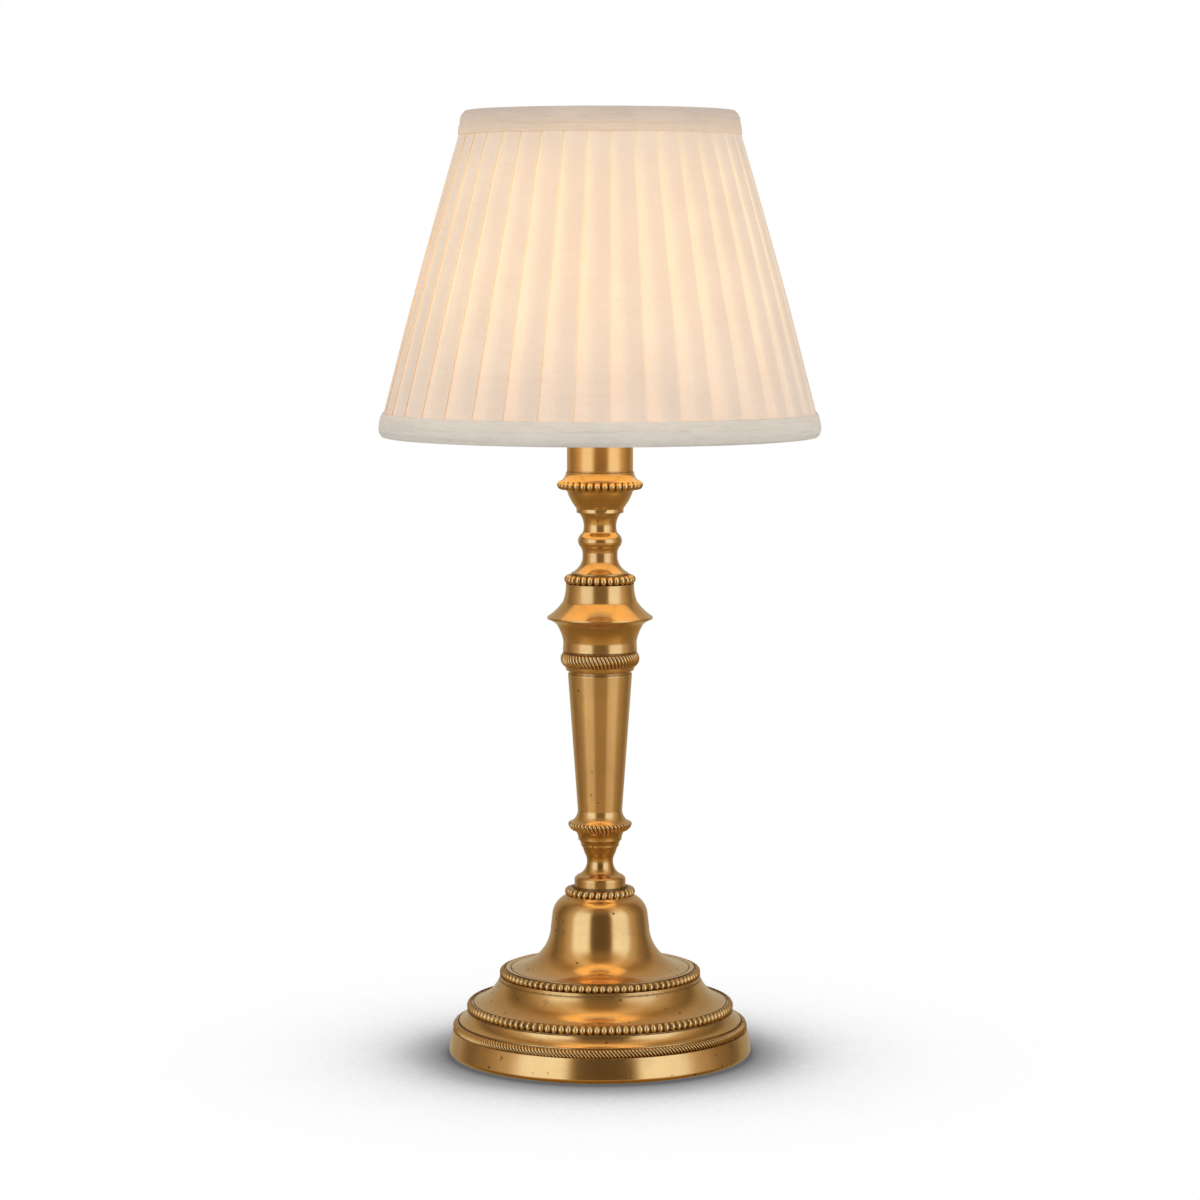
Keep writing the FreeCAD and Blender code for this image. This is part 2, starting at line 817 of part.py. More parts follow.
def build_candle_tube():
    """The sleeve over the lampholder, with two holes for the switch bar."""
    tube = turned("candle_tube", cup_floor, [
        (size.tube_radius - size.tube_wall, 0),
        (size.tube_radius, 0),
        (size.tube_radius, size.tube_length),
        (size.tube_radius - size.tube_wall, size.tube_length)])
    bar_hole(tube, "tube_bar_hole", size.tube_length - size.bar_drop)


def build_top_nut():
    hex_nut("top_nut", cup_floor, size.top_nut_width, size.top_nut_height, size.rod_radius)


# ---------------------------------------------------------------- lampholder

skirt_bore = size.skirt_radius - size.skirt_wall
holder_cap_foot = tube_top - size.holder_cap_drop
holder_foot = holder_cap_foot + size.holder_cap_height


def bar_hole(body, name, height):
    """A hole for the switch bar, right through a body along X."""
    length = size.seat_radius * 4
    round_hole(body, name, size.bar_radius + size.running_clearance, length,
               (-length / 2, nothing, height), Y_AXIS, 90)


def build_holder_cap():
    """The domed cap that screws on the threaded tube."""
    inside = size.rod_reach + cup_floor - holder_cap_foot + size.seat_clearance
    turned("holder_cap", holder_cap_foot, [
        (size.rod_radius + size.seat_clearance, 0),
        (size.holder_cap_foot_radius, 0, SOFT),
        (size.holder_cap_radius, size.holder_cap_height),
        (size.rod_bore_radius, size.holder_cap_height),
        (size.rod_bore_radius, inside),
        (size.rod_radius + size.seat_clearance, inside)])


def build_holder_body():
    """The sleeve with its seat for the shade and the threaded skirt above it."""
    seat_foot = tube_top - holder_foot
    seat_top = seat_foot + size.seat_height
    top = seat_top + size.skirt_length
    pitch = size.thread_length / size.thread_rings
    root = size.skirt_radius - size.thread_depth
    outline = [
        (skirt_bore, 0),
        (size.skirt_radius, 0),
        (size.skirt_radius, seat_foot),
        (size.seat_radius, seat_foot),
        (size.seat_radius, seat_top),
        (root, seat_top)]
    for ring in range(SIZES["thread_rings"]):
        low = seat_top + size.thread_depth + pitch * ring
        outline += [(root, low), (size.skirt_radius, low + pitch / 4),
                    (size.skirt_radius, low + pitch / 2), (root, low + pitch * 3 / 4)]
    outline += [(root, top), (skirt_bore, top)]
    holder = turned("holder_body", holder_foot, outline)
    bar_hole(holder, "holder_bar_hole", seat_foot - size.bar_drop)


def build_insulator():
    """The ceramic block with a bore for the stud and one for each terminal screw."""
    insulator = turned("insulator", insulator_top - size.insulator_height, [
        (size.stud_radius + size.seat_clearance, 0),
        (skirt_bore - size.laying_gap, 0),
        (skirt_bore - size.laying_gap, size.insulator_height),
        (size.stud_radius + size.seat_clearance, size.insulator_height)])
    for side in (-1, 1):
        round_hole(insulator, f"terminal_hole_{side + 1}", size.terminal_radius + size.seat_clearance,
                   size.terminal_length * 2,
                   (nothing, size.terminal_place * side, -size.terminal_length), Z_AXIS, 0)


def build_contacts():
    stud_length = size.insulator_height + size.stud_tail
    turned("centre_contact", insulator_top - stud_length, [
        (0, 0),
        (size.stud_radius, 0),
        (size.stud_radius, stud_length),
        (size.stud_head_radius, stud_length),
        (size.stud_head_radius, stud_length + size.stud_head_height),
        (0, stud_length + size.stud_head_height)])
    bore = size.bulb_thread_radius + size.laying_gap
    outer = bore + size.shell_wall
    crest = outer + size.shell_wall
    outline = [
        (bore, 0),
        (skirt_bore - size.laying_gap, 0),
        (skirt_bore - size.laying_gap, size.shell_flange_height),
        (outer, size.shell_flange_height)]
    for ring in range(SIZES["bulb_threads"]):
        low = size.thread_pitch * (ring + 1)
        outline += [(outer, low), (crest, low + size.thread_pitch / 3),
                    (outer, low + size.thread_pitch * 2 / 3)]
    outline += [(outer, size.shell_height), (bore, size.shell_height)]
    turned("screw_shell", insulator_top, outline)


def build_terminal_screws():
    """Two screws in the underside of the insulator, for the wires."""
    foot = insulator_top - size.insulator_height
    pair = doc.addObject("Part::Compound", "terminal_screws")
    screws = []
    for side in (-1, 1):
        head = bound_cylinder(f"terminal_head_{side + 1}", size.terminal_head_radius,
                              size.terminal_head_height)
        shank = bound_cylinder(f"terminal_shank_{side + 1}", size.terminal_radius,
                               size.terminal_head_height + size.terminal_length - size.seat_clearance)
        screw = doc.addObject("Part::Fuse", f"terminal_screw_{side + 1}")
        screw.Base = head
        screw.Tool = shank
        screw.setExpression("Placement.Base.y", (size.terminal_place * side).text)
        screws.append(screw)
    pair.Links = screws
    finished("terminal_screws", pair, foot - size.terminal_head_height)


def build_switch():
    """The push bar with a button at each end, pushed fully to -X, and its moving contact."""
    half = size.bar_length / 2
    bar = turned_body("switch_bar", [
        (0, -half),
        (size.bar_end_radius, -half),
        (size.bar_end_radius, size.bar_end_length - half),
        (size.bar_radius, size.bar_end_length - half),
        (size.bar_radius, half - size.bar_end_length),
        (size.bar_end_radius, half - size.bar_end_length),
        (size.bar_end_radius, half),
        (0, half)])
    clip_half = size.switch_clip_length / 2
    clip = turned_body("switch_contact", [
        (size.bar_radius + size.seat_clearance, -clip_half),
        (size.switch_clip_radius, -clip_half),
        (size.switch_clip_radius, clip_half),
        (size.bar_radius + size.seat_clearance, clip_half)])
    for name, body in (("switch_bar", bar), ("switch_contact", clip)):
        body.Placement = FreeCAD.Placement(FreeCAD.Vector(0, 0, 0), FreeCAD.Rotation(Y_AXIS, 90))
        body.setExpression("Placement.Base.x", (-size.bar_travel / 2).text)
        finished(name, body, tube_top - size.bar_drop)


def build_shade_ring():
    """The ring that screws down the skirt on to the fitter."""
    bore = size.skirt_radius + size.running_clearance
    turned("shade_ring", shade_seat + size.fitter_height + size.laying_gap * 2, [
        (bore, 0),
        (size.shade_ring_radius, 0),
        (size.shade_ring_radius, size.shade_ring_lip),
        (size.shade_ring_radius - size.shade_ring_lip, size.shade_ring_lip * 2),
        (size.shade_ring_radius - size.shade_ring_lip, size.shade_ring_height),
        (bore, size.shade_ring_height)])


# ---------------------------------------------------------------- bulb

cap_foot = bulb_foot + size.tip_height
glass_foot = cap_foot + size.bulb_cap_height - size.glass_neck_length


def build_bulb_tip():
    """The contact button and the glass bead round it."""
    turned("bulb_tip", bulb_foot, [
        (0, 0),
        (size.tip_radius, 0),
        (size.tip_radius, size.tip_button),
        (size.tip_bead_radius, size.tip_height),
        (0, size.tip_height)])


def build_bulb_cap():
    bore = size.bulb_root_radius - size.bulb_cap_wall
    outline = [(bore, 0), (size.bulb_root_radius, 0)]
    for ring in range(SIZES["bulb_threads"]):
        low = size.thread_pitch * (ring + 0.5)
        outline += [(size.bulb_root_radius, low),
                    (size.bulb_thread_radius, low + size.thread_pitch / 3),
                    (size.bulb_thread_radius, low + size.thread_pitch / 2),
                    (size.bulb_root_radius, low + size.thread_pitch * 5 / 6)]
    outline += [(size.bulb_root_radius, size.bulb_cap_height), (bore, size.bulb_cap_height)]
    turned("bulb_cap", cap_foot, outline)


def build_bulb_glass():
    """A thin candle-shaped envelope, open at its neck."""
    wall = size.glass_wall
    neck = size.glass_neck_length
    tip_foot = size.glass_height - size.glass_tip_radius
    turned("bulb_glass", glass_foot, [
        (size.glass_neck_radius - wall, 0),
        (size.glass_neck_radius, 0),
        (size.glass_neck_radius, neck, SLIGHT),
        (size.glass_radius, size.glass_belly_height, GENTLE),
        (size.glass_tip_radius, tip_foot, QUARTER),
        (0, size.glass_height),
        (0, size.glass_height - wall, -QUARTER),
        (size.glass_tip_radius - wall, tip_foot, -GENTLE),
        (size.glass_radius - wall, size.glass_belly_height, -SLIGHT),
        (size.glass_neck_radius - wall, neck)])


def build_bulb_inside():
    """The glass stem with its button, and the filament on its supports."""
    button = size.stem_height - size.stem_button_radius / 2
    turned("bulb_stem", glass_foot, [
        (0, 0),
        (size.stem_foot_radius, 0),
        (size.stem_foot_radius, size.glass_wall, -SOFT),
        (size.stem_radius, size.glass_neck_length),
        (size.stem_radius, button),
        (size.stem_button_radius, button),
        (size.stem_button_radius, size.stem_height),
        (0, size.stem_height)])
    coil = doc.addObject("Part::Torus", "filament_coil")
    coil.setExpression("Radius1", size.filament_radius.text)
    coil.setExpression("Radius2", (size.filament_wire * 2).text)
    raised(coil, size.filament_height)
    pieces = [coil]
    for turn in range(3):
        support = bound_cylinder(f"filament_support_{turn}", size.filament_wire, size.filament_height)
        angle = math.radians(FULL_TURN * turn / 3)
        support.setExpression("Placement.Base.x", (size.filament_radius * math.cos(angle)).text)
        support.setExpression("Placement.Base.y", (size.filament_radius * math.sin(angle)).text)
        pieces.append(support)
    filament = doc.addObject("Part::MultiFuse", "filament")
    filament.Shapes = pieces
    finished("filament", filament, glass_foot + size.stem_height)


# ---------------------------------------------------------------- shade

cover_slope = (size.cover_foot_radius - size.cover_head_radius) / size.shade_height


def cover_radius(rise):
    """Radius of the fold edges at a height above the shade's lower edge."""
    return size.cover_foot_radius - cover_slope * rise


def lining_radius(rise):
    """Outside radius of the lining at a height above the shade's lower edge."""
    return cover_radius(rise) - size.cover_thickness - size.seat_clearance


def wire_ring_radius(rise):
    return lining_radius(rise) - size.lining_thickness * 1.1 - size.wire_radius - size.seat_clearance


def build_lining():
    low = size.lining_foot_inset
    high = size.shade_height - size.lining_head_inset
    turned("shade_lining", shade_foot, [
        (lining_radius(low) - size.lining_thickness, low),
        (lining_radius(low), low),
        (lining_radius(high), high),
        (lining_radius(high) - size.lining_thickness, high)])


def fold_points(rise, angle_start):
    """The folded section of the cover at one height. Angles run from the front towards +X."""
    radius = cover_radius(as_size(rise)).value
    count = SIZES["pleat_count"]
    pitch = 2 * math.pi / count
    underlap = SIZES["pleat_underlap"] / radius
    strip = max(pitch - underlap, pitch / 20)
    soft = (pitch - strip) * SIZES["fold_soft"]
    low = radius - SIZES["fold_depth"]
    points = []
    for fold in range(count):
        start = math.radians(angle_start) + pitch * fold
        for turn, reach in ((0, low), (strip, low), (strip + soft, radius), (pitch, radius)):
            angle = start + turn
            points.append(FreeCAD.Vector(reach * math.sin(angle), -reach * math.cos(angle), rise))
    return points


def build_pleated_cover():
    """Knife pleats: a ruled loft between the folded sections at both ends, hollowed by a cone."""
    low = SIZES["cover_foot_inset"]
    high = SIZES["shade_height"] - SIZES["cover_head_inset"]
    ends = []
    for rise, angle in ((low, SIZES["pleat_start"]), (high, SIZES["pleat_start"] + SIZES["pleat_twist"])):
        points = fold_points(rise, angle)
        ends.append(Part.makePolygon(points + points[:1]))
    folds = Part.makeLoft(ends, True, True)
    low_bore = cover_radius(as_size(low)).value - SIZES["cover_thickness"]
    high_bore = cover_radius(as_size(high)).value - SIZES["cover_thickness"]
    hollow = Part.makeCone(low_bore, high_bore, high - low, FreeCAD.Vector(0, 0, low))
    cover = doc.addObject("Part::Feature", "pleated_cover")
    cover.Shape = folds.cut(hollow)
    finished("pleated_cover", cover, shade_foot)


def build_trims():
    """Fabric bindings folded over the upper and lower edges. The upper one also covers its wire."""
    height = size.trim_height
    tape = size.trim_tape
    middle = height / 2
    gap = size.laying_gap
    edge = size.wire_radius + size.trim_swell
    lining_foot = size.lining_foot_inset
    wire_foot = wire_ring_radius(size.wire_foot_inset)
    inner_foot = wire_foot - size.wire_radius - gap
    turned("bottom_trim", shade_foot, [
        (inner_foot - tape, size.trim_foot_fold),
        (inner_foot - tape, tape),
        (inner_foot, 0),
        (cover_radius(nothing) - edge, 0, SOFT),
        (cover_radius(middle) + size.trim_swell, middle, SLIGHT),
        (cover_radius(height) + tape, height),
        (cover_radius(height) + gap, height),
        (cover_radius(size.cover_foot_inset) + gap, size.cover_foot_inset),
        (lining_radius(lining_foot) + gap, lining_foot - gap),
        (wire_foot, tape),
        (inner_foot, tape * 1.5),
        (inner_foot, size.trim_foot_fold)])
    top = size.shade_height
    lining_head = top - size.lining_head_inset
    wire_head = wire_ring_radius(top - size.wire_head_inset)
    inner_head = wire_head - size.wire_radius - gap
    turned("top_trim", shade_foot, [
        (inner_head, top - size.trim_head_fold),
        (inner_head, top - tape * 1.5),
        (wire_head, top - tape),
        (lining_radius(lining_head) + gap, lining_head + gap),
        (cover_radius(top - size.cover_head_inset) + gap, top - size.cover_head_inset),
        (cover_radius(top - height) + gap, top - height),
        (cover_radius(top - height) + tape, top - height, SLIGHT),
        (cover_radius(top - middle) + size.trim_head_swell, top - middle, SOFT),
        (cover_radius(top) + tape / 2, top),
        (inner_head, top),
        (inner_head - tape, top - tape),
        (inner_head - tape, top - size.trim_head_fold)])


def wire_ring(name, rise):
    """A wire ring inside the lining, at a height above the shade's lower edge."""
    ring = doc.addObject("Part::Torus", name)
    ring.setExpression("Radius1", wire_ring_radius(rise).text)
    ring.setExpression("Radius2", size.wire_radius.text)
    return ring


def build_wire_rings():
    head_rise = size.shade_height - size.wire_head_inset
    finished("shade_top_ring", wire_ring("shade_top_ring", head_rise), shade_foot + head_rise)
    foot_rise = size.wire_foot_inset
    finished("shade_bottom_ring", wire_ring("shade_bottom_ring", foot_rise), shade_foot + foot_rise)


def build_fitter():
    """The flat ring that sits on the lampholder's seat, and the three arms welded to it and to the wire."""
    wire = wire_ring_radius(size.wire_foot_inset)
    fitter_foot = shade_seat + size.laying_gap
    washer("fitter_ring", fitter_foot, size.skirt_radius + size.running_clearance,
           size.fitter_radius, size.fitter_height)
    span = wire - size.fitter_radius + size.arm_radius
    rise = size.shade_recess + size.laying_gap + size.fitter_height / 2 - size.wire_foot_inset
    length = (span * span + rise * rise).root()
    tilt = math.degrees(math.atan2(rise.value, span.value)) - 90
    rods = []
    for turn in range(SIZES["arm_count"]):
        rod = bound_cylinder(f"arm_rod_{turn}", size.arm_radius, length)
        azimuth = 90 + FULL_TURN * turn / SIZES["arm_count"]
        rod.Placement.Rotation = FreeCAD.Rotation(Z_AXIS, azimuth).multiply(FreeCAD.Rotation(Y_AXIS, tilt))
        rod.setExpression("Placement.Base.x", (wire * math.cos(math.radians(azimuth))).text)
        rod.setExpression("Placement.Base.y", (wire * math.sin(math.radians(azimuth))).text)
        rods.append(rod)
    three = doc.addObject("Part::MultiFuse", "arm_rods")
    three.Shapes = rods
    loop = wire_ring("arm_weld_loop", size.wire_foot_inset)
    disc = bound_cylinder("arm_weld_disc", size.fitter_radius, size.fitter_height)
    raised(disc, rise - size.fitter_height / 2)
    welds = doc.addObject("Part::Fuse", "arm_welds")
    welds.Base = loop
    welds.Tool = disc
    arms = doc.addObject("Part::Cut", "fitter_arms")
    arms.Base = three
    arms.Tool = welds
    finished("fitter_arms", arms, shade_foot + size.wire_foot_inset)


# ---------------------------------------------------------------- build, check and write

def build_all():
    build_felt_pad()
    build_base_shell()
    build_base_rings()
    build_base_weight()
    build_base_fastenings()
    build_tie_rod()
    build_earth_screw()
    build_cord_bushing()
    build_lower_knop()
    build_lower_rope_ring()
    build_column()
    build_upper_rope_ring()
    build_capital()
    build_capital_bead_ring()
    build_upper_knop()
    build_candle_cup()
    build_candle_tube()
    build_top_nut()
    build_holder_cap()
    build_holder_body()
    build_insulator()
    build_contacts()
    build_terminal_screws()
    build_switch()
    build_shade_ring()
    build_bulb_tip()
    build_bulb_cap()
    build_bulb_glass()
    build_bulb_inside()
    build_lining()
    build_pleated_cover()
    build_trims()
    build_wire_rings()
    build_fitter()


def check_all():
    """Stops at an object that failed and at a sub-part without a sound solid."""
    for item in doc.Objects:
        if {"Invalid", "Error"} & set(item.State):
            raise RuntimeError(f"{item.Name} failed: {item.State}")
    for name, item in made.items():
        shape = item.Shape
        if shape.isNull() or not shape.isValid() or not shape.Solids:
            raise RuntimeError(f"{name} has no sound solid")


def write_all():
    os.makedirs("parts", exist_ok=True)
    for name, item in made.items():
        item.Shape.exportStep(f"parts/{name}.step")


build_all()
doc.recompute()
check_all()
write_all()
print(len(made), "sub-parts")
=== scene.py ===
"""Looks of a turned brass candlestick lamp with a knife-pleated shade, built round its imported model.

Lengths in the settings are in metres, and the frame's own boxes and outlines give every place.
"""

import json
import math

import bmesh
import bpy
from bpy.props import FloatProperty, FloatVectorProperty, IntProperty, PointerProperty
from mathutils import Matrix, Vector, noise
from mathutils.bvhtree import BVHTree

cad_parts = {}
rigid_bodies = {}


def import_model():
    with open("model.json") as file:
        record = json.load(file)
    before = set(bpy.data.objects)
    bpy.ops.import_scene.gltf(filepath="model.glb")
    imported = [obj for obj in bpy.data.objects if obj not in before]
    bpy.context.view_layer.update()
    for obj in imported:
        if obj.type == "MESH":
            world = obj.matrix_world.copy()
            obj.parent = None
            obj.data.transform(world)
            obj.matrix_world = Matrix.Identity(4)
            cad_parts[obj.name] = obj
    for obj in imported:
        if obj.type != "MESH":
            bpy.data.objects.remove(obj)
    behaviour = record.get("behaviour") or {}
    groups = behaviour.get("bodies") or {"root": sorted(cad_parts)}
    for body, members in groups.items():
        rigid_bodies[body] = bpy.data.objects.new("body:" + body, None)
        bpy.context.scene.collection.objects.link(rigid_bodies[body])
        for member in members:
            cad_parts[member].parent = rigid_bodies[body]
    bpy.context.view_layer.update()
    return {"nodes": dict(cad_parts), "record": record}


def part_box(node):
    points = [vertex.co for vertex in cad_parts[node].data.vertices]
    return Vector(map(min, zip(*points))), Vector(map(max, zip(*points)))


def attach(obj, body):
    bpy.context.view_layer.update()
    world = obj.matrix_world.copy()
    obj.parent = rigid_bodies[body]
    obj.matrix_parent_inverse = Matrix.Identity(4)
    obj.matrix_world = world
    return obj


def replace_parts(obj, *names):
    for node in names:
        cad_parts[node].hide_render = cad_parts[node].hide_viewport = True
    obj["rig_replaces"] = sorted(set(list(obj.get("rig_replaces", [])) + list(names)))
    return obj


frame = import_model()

bl_info = {
    "name": "Candlestick lamp looks",
    "version": (1, 0, 0),
    "blender": (4, 5, 0),
    "location": "3D View > Sidebar > Lamp",
    "description": "Builds the turned brass, ornament rows, pleated shade and studio of a candlestick lamp",
    "category": "Object",
}

MM = 0.001
NEAR = 1e-6     # points closer than this, in metres, count as one
NODES = frame["nodes"]
SLOTS = {part["node"]: part["material_slot"] for part in frame["record"]["subparts"]}
BODY_OF = {node: body for body, members in frame["record"]["behaviour"]["bodies"].items() for node in members}

TURNED = ("base_shell", "lower_knop", "column", "capital", "upper_knop", "candle_cup", "candle_tube")


# ---- settings

def colour(name, description, default):
    return FloatVectorProperty(name=name, description=description, subtype="COLOR", default=default)


def measure(name, description, default, unit="LENGTH"):
    return FloatProperty(name=name, description=description, default=default, unit=unit)


class BrassSettings(bpy.types.PropertyGroup):
    """Sizes and colours of the turned brass and its ornament."""
    segments: IntProperty(name="Lathe steps", description="Faces round a turned piece", default=192, min=24)
    edge_radius: measure("Edge radius", "How far a turned edge is rubbed round", 0.00028)
    gold: colour("Brass", "Polished brass", (0.80, 0.425, 0.115))
    # The tube's brass is more orange than the rest: partly its own brushed brass, partly a painted warm tint
    # of the shade's light.
    tube_gold: colour("Tube brass", "Brushed brass of the candle tube", (0.90, 0.43, 0.09))
    brown: colour("Tarnish", "Thin brown tarnish over the brass", (0.52, 0.25, 0.065))
    # The grime colour also paints the shade in sheltered recesses and between parts.
    grime: colour("Grime", "Dark grime left in the recesses", (0.075, 0.036, 0.014))


class ShadeSettings(bpy.types.PropertyGroup):
    """Sizes and colours of the pleated cover and its bindings."""
    pleat_count: IntProperty(name="Pleats", description="Knife pleats round the shade", default=39, min=8)
    underlap: measure("Underlap", "Cloth folded under each pleat", 0.0086)
    layer_gap: measure("Layer gap", "Distance between two folded layers", 0.00027)
    foot_radius: measure("Foot radius", "Fold edges at the shade's lower edge", 0.1024)
    head_radius: measure("Head radius", "Fold edges at the shade's upper edge", 0.0614)
    first_fold: measure("First fold", "Angle of the first fold from the front, at the lower edge",
                        math.radians(2.1), "ROTATION")
    lean: measure("Lean", "Angle by which a fold leans over the whole height", math.radians(1.8), "ROTATION")
    belly: measure("Belly", "How far the cover bows outwards half way up", 0.0009)
    cloth: colour("Cloth", "Unlit cloth of the cover", (0.83, 0.76, 0.68))
    binding: colour("Binding", "Cloth of the lower binding", (0.94, 0.865, 0.765))
    # The upper binding is given a darker, browner colour than the lower binding.
    upper_binding: colour("Upper binding", "Upper binding, browned by the bulb's heat", (0.875, 0.72, 0.60))
    # The glows below are painted light: the bulb's light through the cloth, given as emission.
    strip_glow: colour("Single glow", "Light through one layer, half way up", (0.50, 0.30, 0.085))
    strip_foot_glow: colour("Single foot glow", "Light through one layer, lower edge", (0.32, 0.15, 0.05))
    fold_glow: colour("Folded glow", "Light through the folds, half way up", (0.33, 0.145, 0.015))
    fold_foot_glow: colour("Folded foot glow", "Light through the folds, lower edge", (0.175, 0.07, 0.0))
    binding_glow: colour("Binding glow", "Light through the upper binding", (0.21, 0.12, 0.035))


class StudioSettings(bpy.types.PropertyGroup):
    """Camera, lamps and floor."""
    camera_place: FloatVectorProperty(name="Camera place", description="Where the camera stands",
                                      unit="LENGTH", subtype="TRANSLATION", default=(0.0, -1.7, 0.3734))
    camera_tilt: measure("Camera tilt", "How far the camera looks down", math.radians(5.403), "ROTATION")
    lens: measure("Lens", "Focal length on a 36 mm wide sensor", 110.7, "CAMERA")
    panel_angle: measure("Panel angle", "Angle of each light panel from the camera's side", math.radians(57),
                         "ROTATION")
    panel_distance: measure("Panel distance", "From the lamp to the panels", 1.5)
    panel_size: FloatVectorProperty(name="Panel size", description="Width and height of each panel", size=2,
                                    unit="LENGTH", default=(1.85, 2.0))
    panel_power: measure("Panel power", "Power of each panel", 14.4, "POWER")
    sky: FloatProperty(name="Sky", description="Strength of the even light", default=0.42, min=0)
    # The tent is a painted reflection, seen only in the brass's shine.
    tent: FloatProperty(name="Tent", description="Brightness of what the brass mirrors", default=1.4, min=0)


def settings(name):
    return getattr(bpy.context.scene, name)


# ---- meshes

def linked(name, data):
    """A new object in the scene."""
    thing = bpy.data.objects.new(name, data)
    bpy.context.scene.collection.objects.link(thing)
    return thing


def mesh_piece(name, places, faces, material, smooth=True):
    """A piece at the origin, made of places and faces in the model's own frame."""
    mesh = bpy.data.meshes.new(name)
    mesh.from_pydata(places, [], faces)
    mesh.materials.append(material)
    if smooth:
        mesh.shade_smooth()
    mesh.update()
    return linked(name, mesh)


def heights(node):
    return [corner.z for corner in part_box(node)]


def grid_faces(rows, columns, rows_close=True, columns_close=False):
    """The faces between points listed row by row. Rows and columns may close to a ring."""
    faces = []
    for row in range(rows if rows_close else rows - 1):
        here, there = row * columns, (row + 1) % rows * columns
        for one in range(columns if columns_close else columns - 1):
            two = (one + 1) % columns
            faces.append((here + one, here + two, there + two, there + one))
    return faces


def mark(piece, name, values):
    """Stores one number for each point of the piece, for its material to read."""
    layer = piece.data.attributes.new(name, "FLOAT", "POINT")
    layer.data.foreach_set("value", values)


def section_of(node):
    """The closed outline of a turned CAD piece as (radius, height) points, read at its +X side."""
    mesh = NODES[node].data
    corners = [(round(v.co.x, 7), round(v.co.z, 7)) if abs(v.co.y) < NEAR and v.co.x > NEAR else None
               for v in mesh.vertices]
    links = {corner: set() for corner in corners if corner}
    for edge in mesh.edges:
        one, two = (corners[i] for i in edge.vertices)
        if one and two and one != two:
            links[one].add(two)
            links[two].add(one)
    loose = sorted((p for p in links if len(links[p]) < 2), key=lambda p: (round(p[1], 5), p[0]))
    while len(loose) > 1:
        one, two = loose[:2]
        if abs(one[1] - two[1]) < 2 * NEAR and two not in links[one]:
            links[one].add(two)
            links[two].add(one)
            loose = loose[2:]
        else:
            loose = loose[1:]
    start = max(links)
    loop, here, before = [start], start, None
    while True:
        onward = [p for p in links[here] if p != before and p not in loop[1:]]
        onward = [p for p in onward if p != start] or onward
        if not onward or onward[0] == start:
            break
        before, here = here, onward[0]
        loop.append(here)
    area = sum(a[0] * b[1] - b[0] * a[1] for a, b in zip(loop, loop[1:] + loop[:1]))
    if len(loop) < 4 or abs(area) < NEAR * MM:
        raise RuntimeError(f"the outline of {node} isn't closed")
    return [Vector(p) for p in (loop if area > 0 else loop[::-1])]


def outline_of(node):
    """The outline of a turned piece, or of the candle tube, whose wall has holes in it."""
    if node != "candle_tube":
        return section_of(node)
    low, high = heights(node)
    radii = [math.hypot(v.co.x, v.co.y) for v in NODES[node].data.vertices]
    inner, outer = min(radii), max(radii)
    return [Vector(p) for p in ((inner, low), (outer, low), (outer, high), (inner, high))]


def hermite(one, two, start, end, t):
    """A point of the smooth curve from one place to another, given its slopes at both."""
    length = (two - one).length
    return (one * (2 * t ** 3 - 3 * t ** 2 + 1) + start * (length * (t ** 3 - 2 * t ** 2 + t))
            + two * (3 * t ** 2 - 2 * t ** 3) + end * (length * (t ** 3 - t ** 2)))


# Where an outline turns by more degrees than this, it has a corner. A run's end counts as one much sooner.
CORNER_TURN = 24
RUN_END_TURN = 3
CORNER_STEPS = 4
LONGEST = 1.2 * MM


def eased(outline, radius):
    """The outline with its corners rubbed round, its curves smooth and its straight runs divided."""
    count = len(outline)
    rounded = []
    for i, corner in enumerate(outline):
        before = outline[i - 1] - corner
        after = outline[(i + 1) % count] - corner
        turn = math.degrees(math.pi - before.angle(after))
        run_ends = max(before.length, after.length) > 2.5 * min(before.length, after.length)
        if turn < (RUN_END_TURN if run_ends else CORNER_TURN):
            rounded.append((corner, None))
            continue
        reach = min(radius, before.length * 0.45, after.length * 0.45)
        one = corner + before.normalized() * reach
        two = corner + after.normalized() * reach
        for k in range(CORNER_STEPS + 1):
            t = k / CORNER_STEPS
            rounded.append((one * (1 - t) ** 2 + corner * (2 * t * (1 - t)) + two * t ** 2, i))

    def slope(k, ahead):
        """The curve's slope at a point: at a corner it is that of the run that leaves it."""
        here, corner = rounded[k]
        before, after = rounded[k - 1][0], rounded[(k + 1) % len(rounded)][0]
        if corner is not None:
            return (after - here).normalized() if ahead else (here - before).normalized()
        back, on = (here - before), (after - here)
        return (back.normalized() * on.length + on.normalized() * back.length) / (back.length + on.length)

    divided = []
    for k, (one, corner) in enumerate(rounded):
        two, next_corner = rounded[(k + 1) % len(rounded)]
        length = (two - one).length
        if length < 2 * NEAR:
            continue
        divided.append(one)
        if corner is None or next_corner is None:
            steps = math.ceil(length / (0.6 * LONGEST))
            start, end = slope(k, True), slope((k + 1) % len(rounded), False)
            divided.extend(hermite(one, two, start, end, n / steps) for n in range(1, steps))
        elif corner != next_corner and length > 5 * radius:
            inner = length - 2 * radius
            steps = max(1, math.ceil(inner / LONGEST))
            cuts = [(radius + inner * n / steps) / length for n in range(1, steps)]
            divided.extend(one.lerp(two, cut) for cut in [radius / length, *cuts, 1 - radius / length])
    return divided


# A turned line's section: places along it and depths, in shares of its width and depth.
GROOVE = ((-0.7, 0), (-0.5, 0.03), (-0.25, 0.6), (0, 1), (0.25, 0.6), (0.5, 0.03), (0.7, 0))


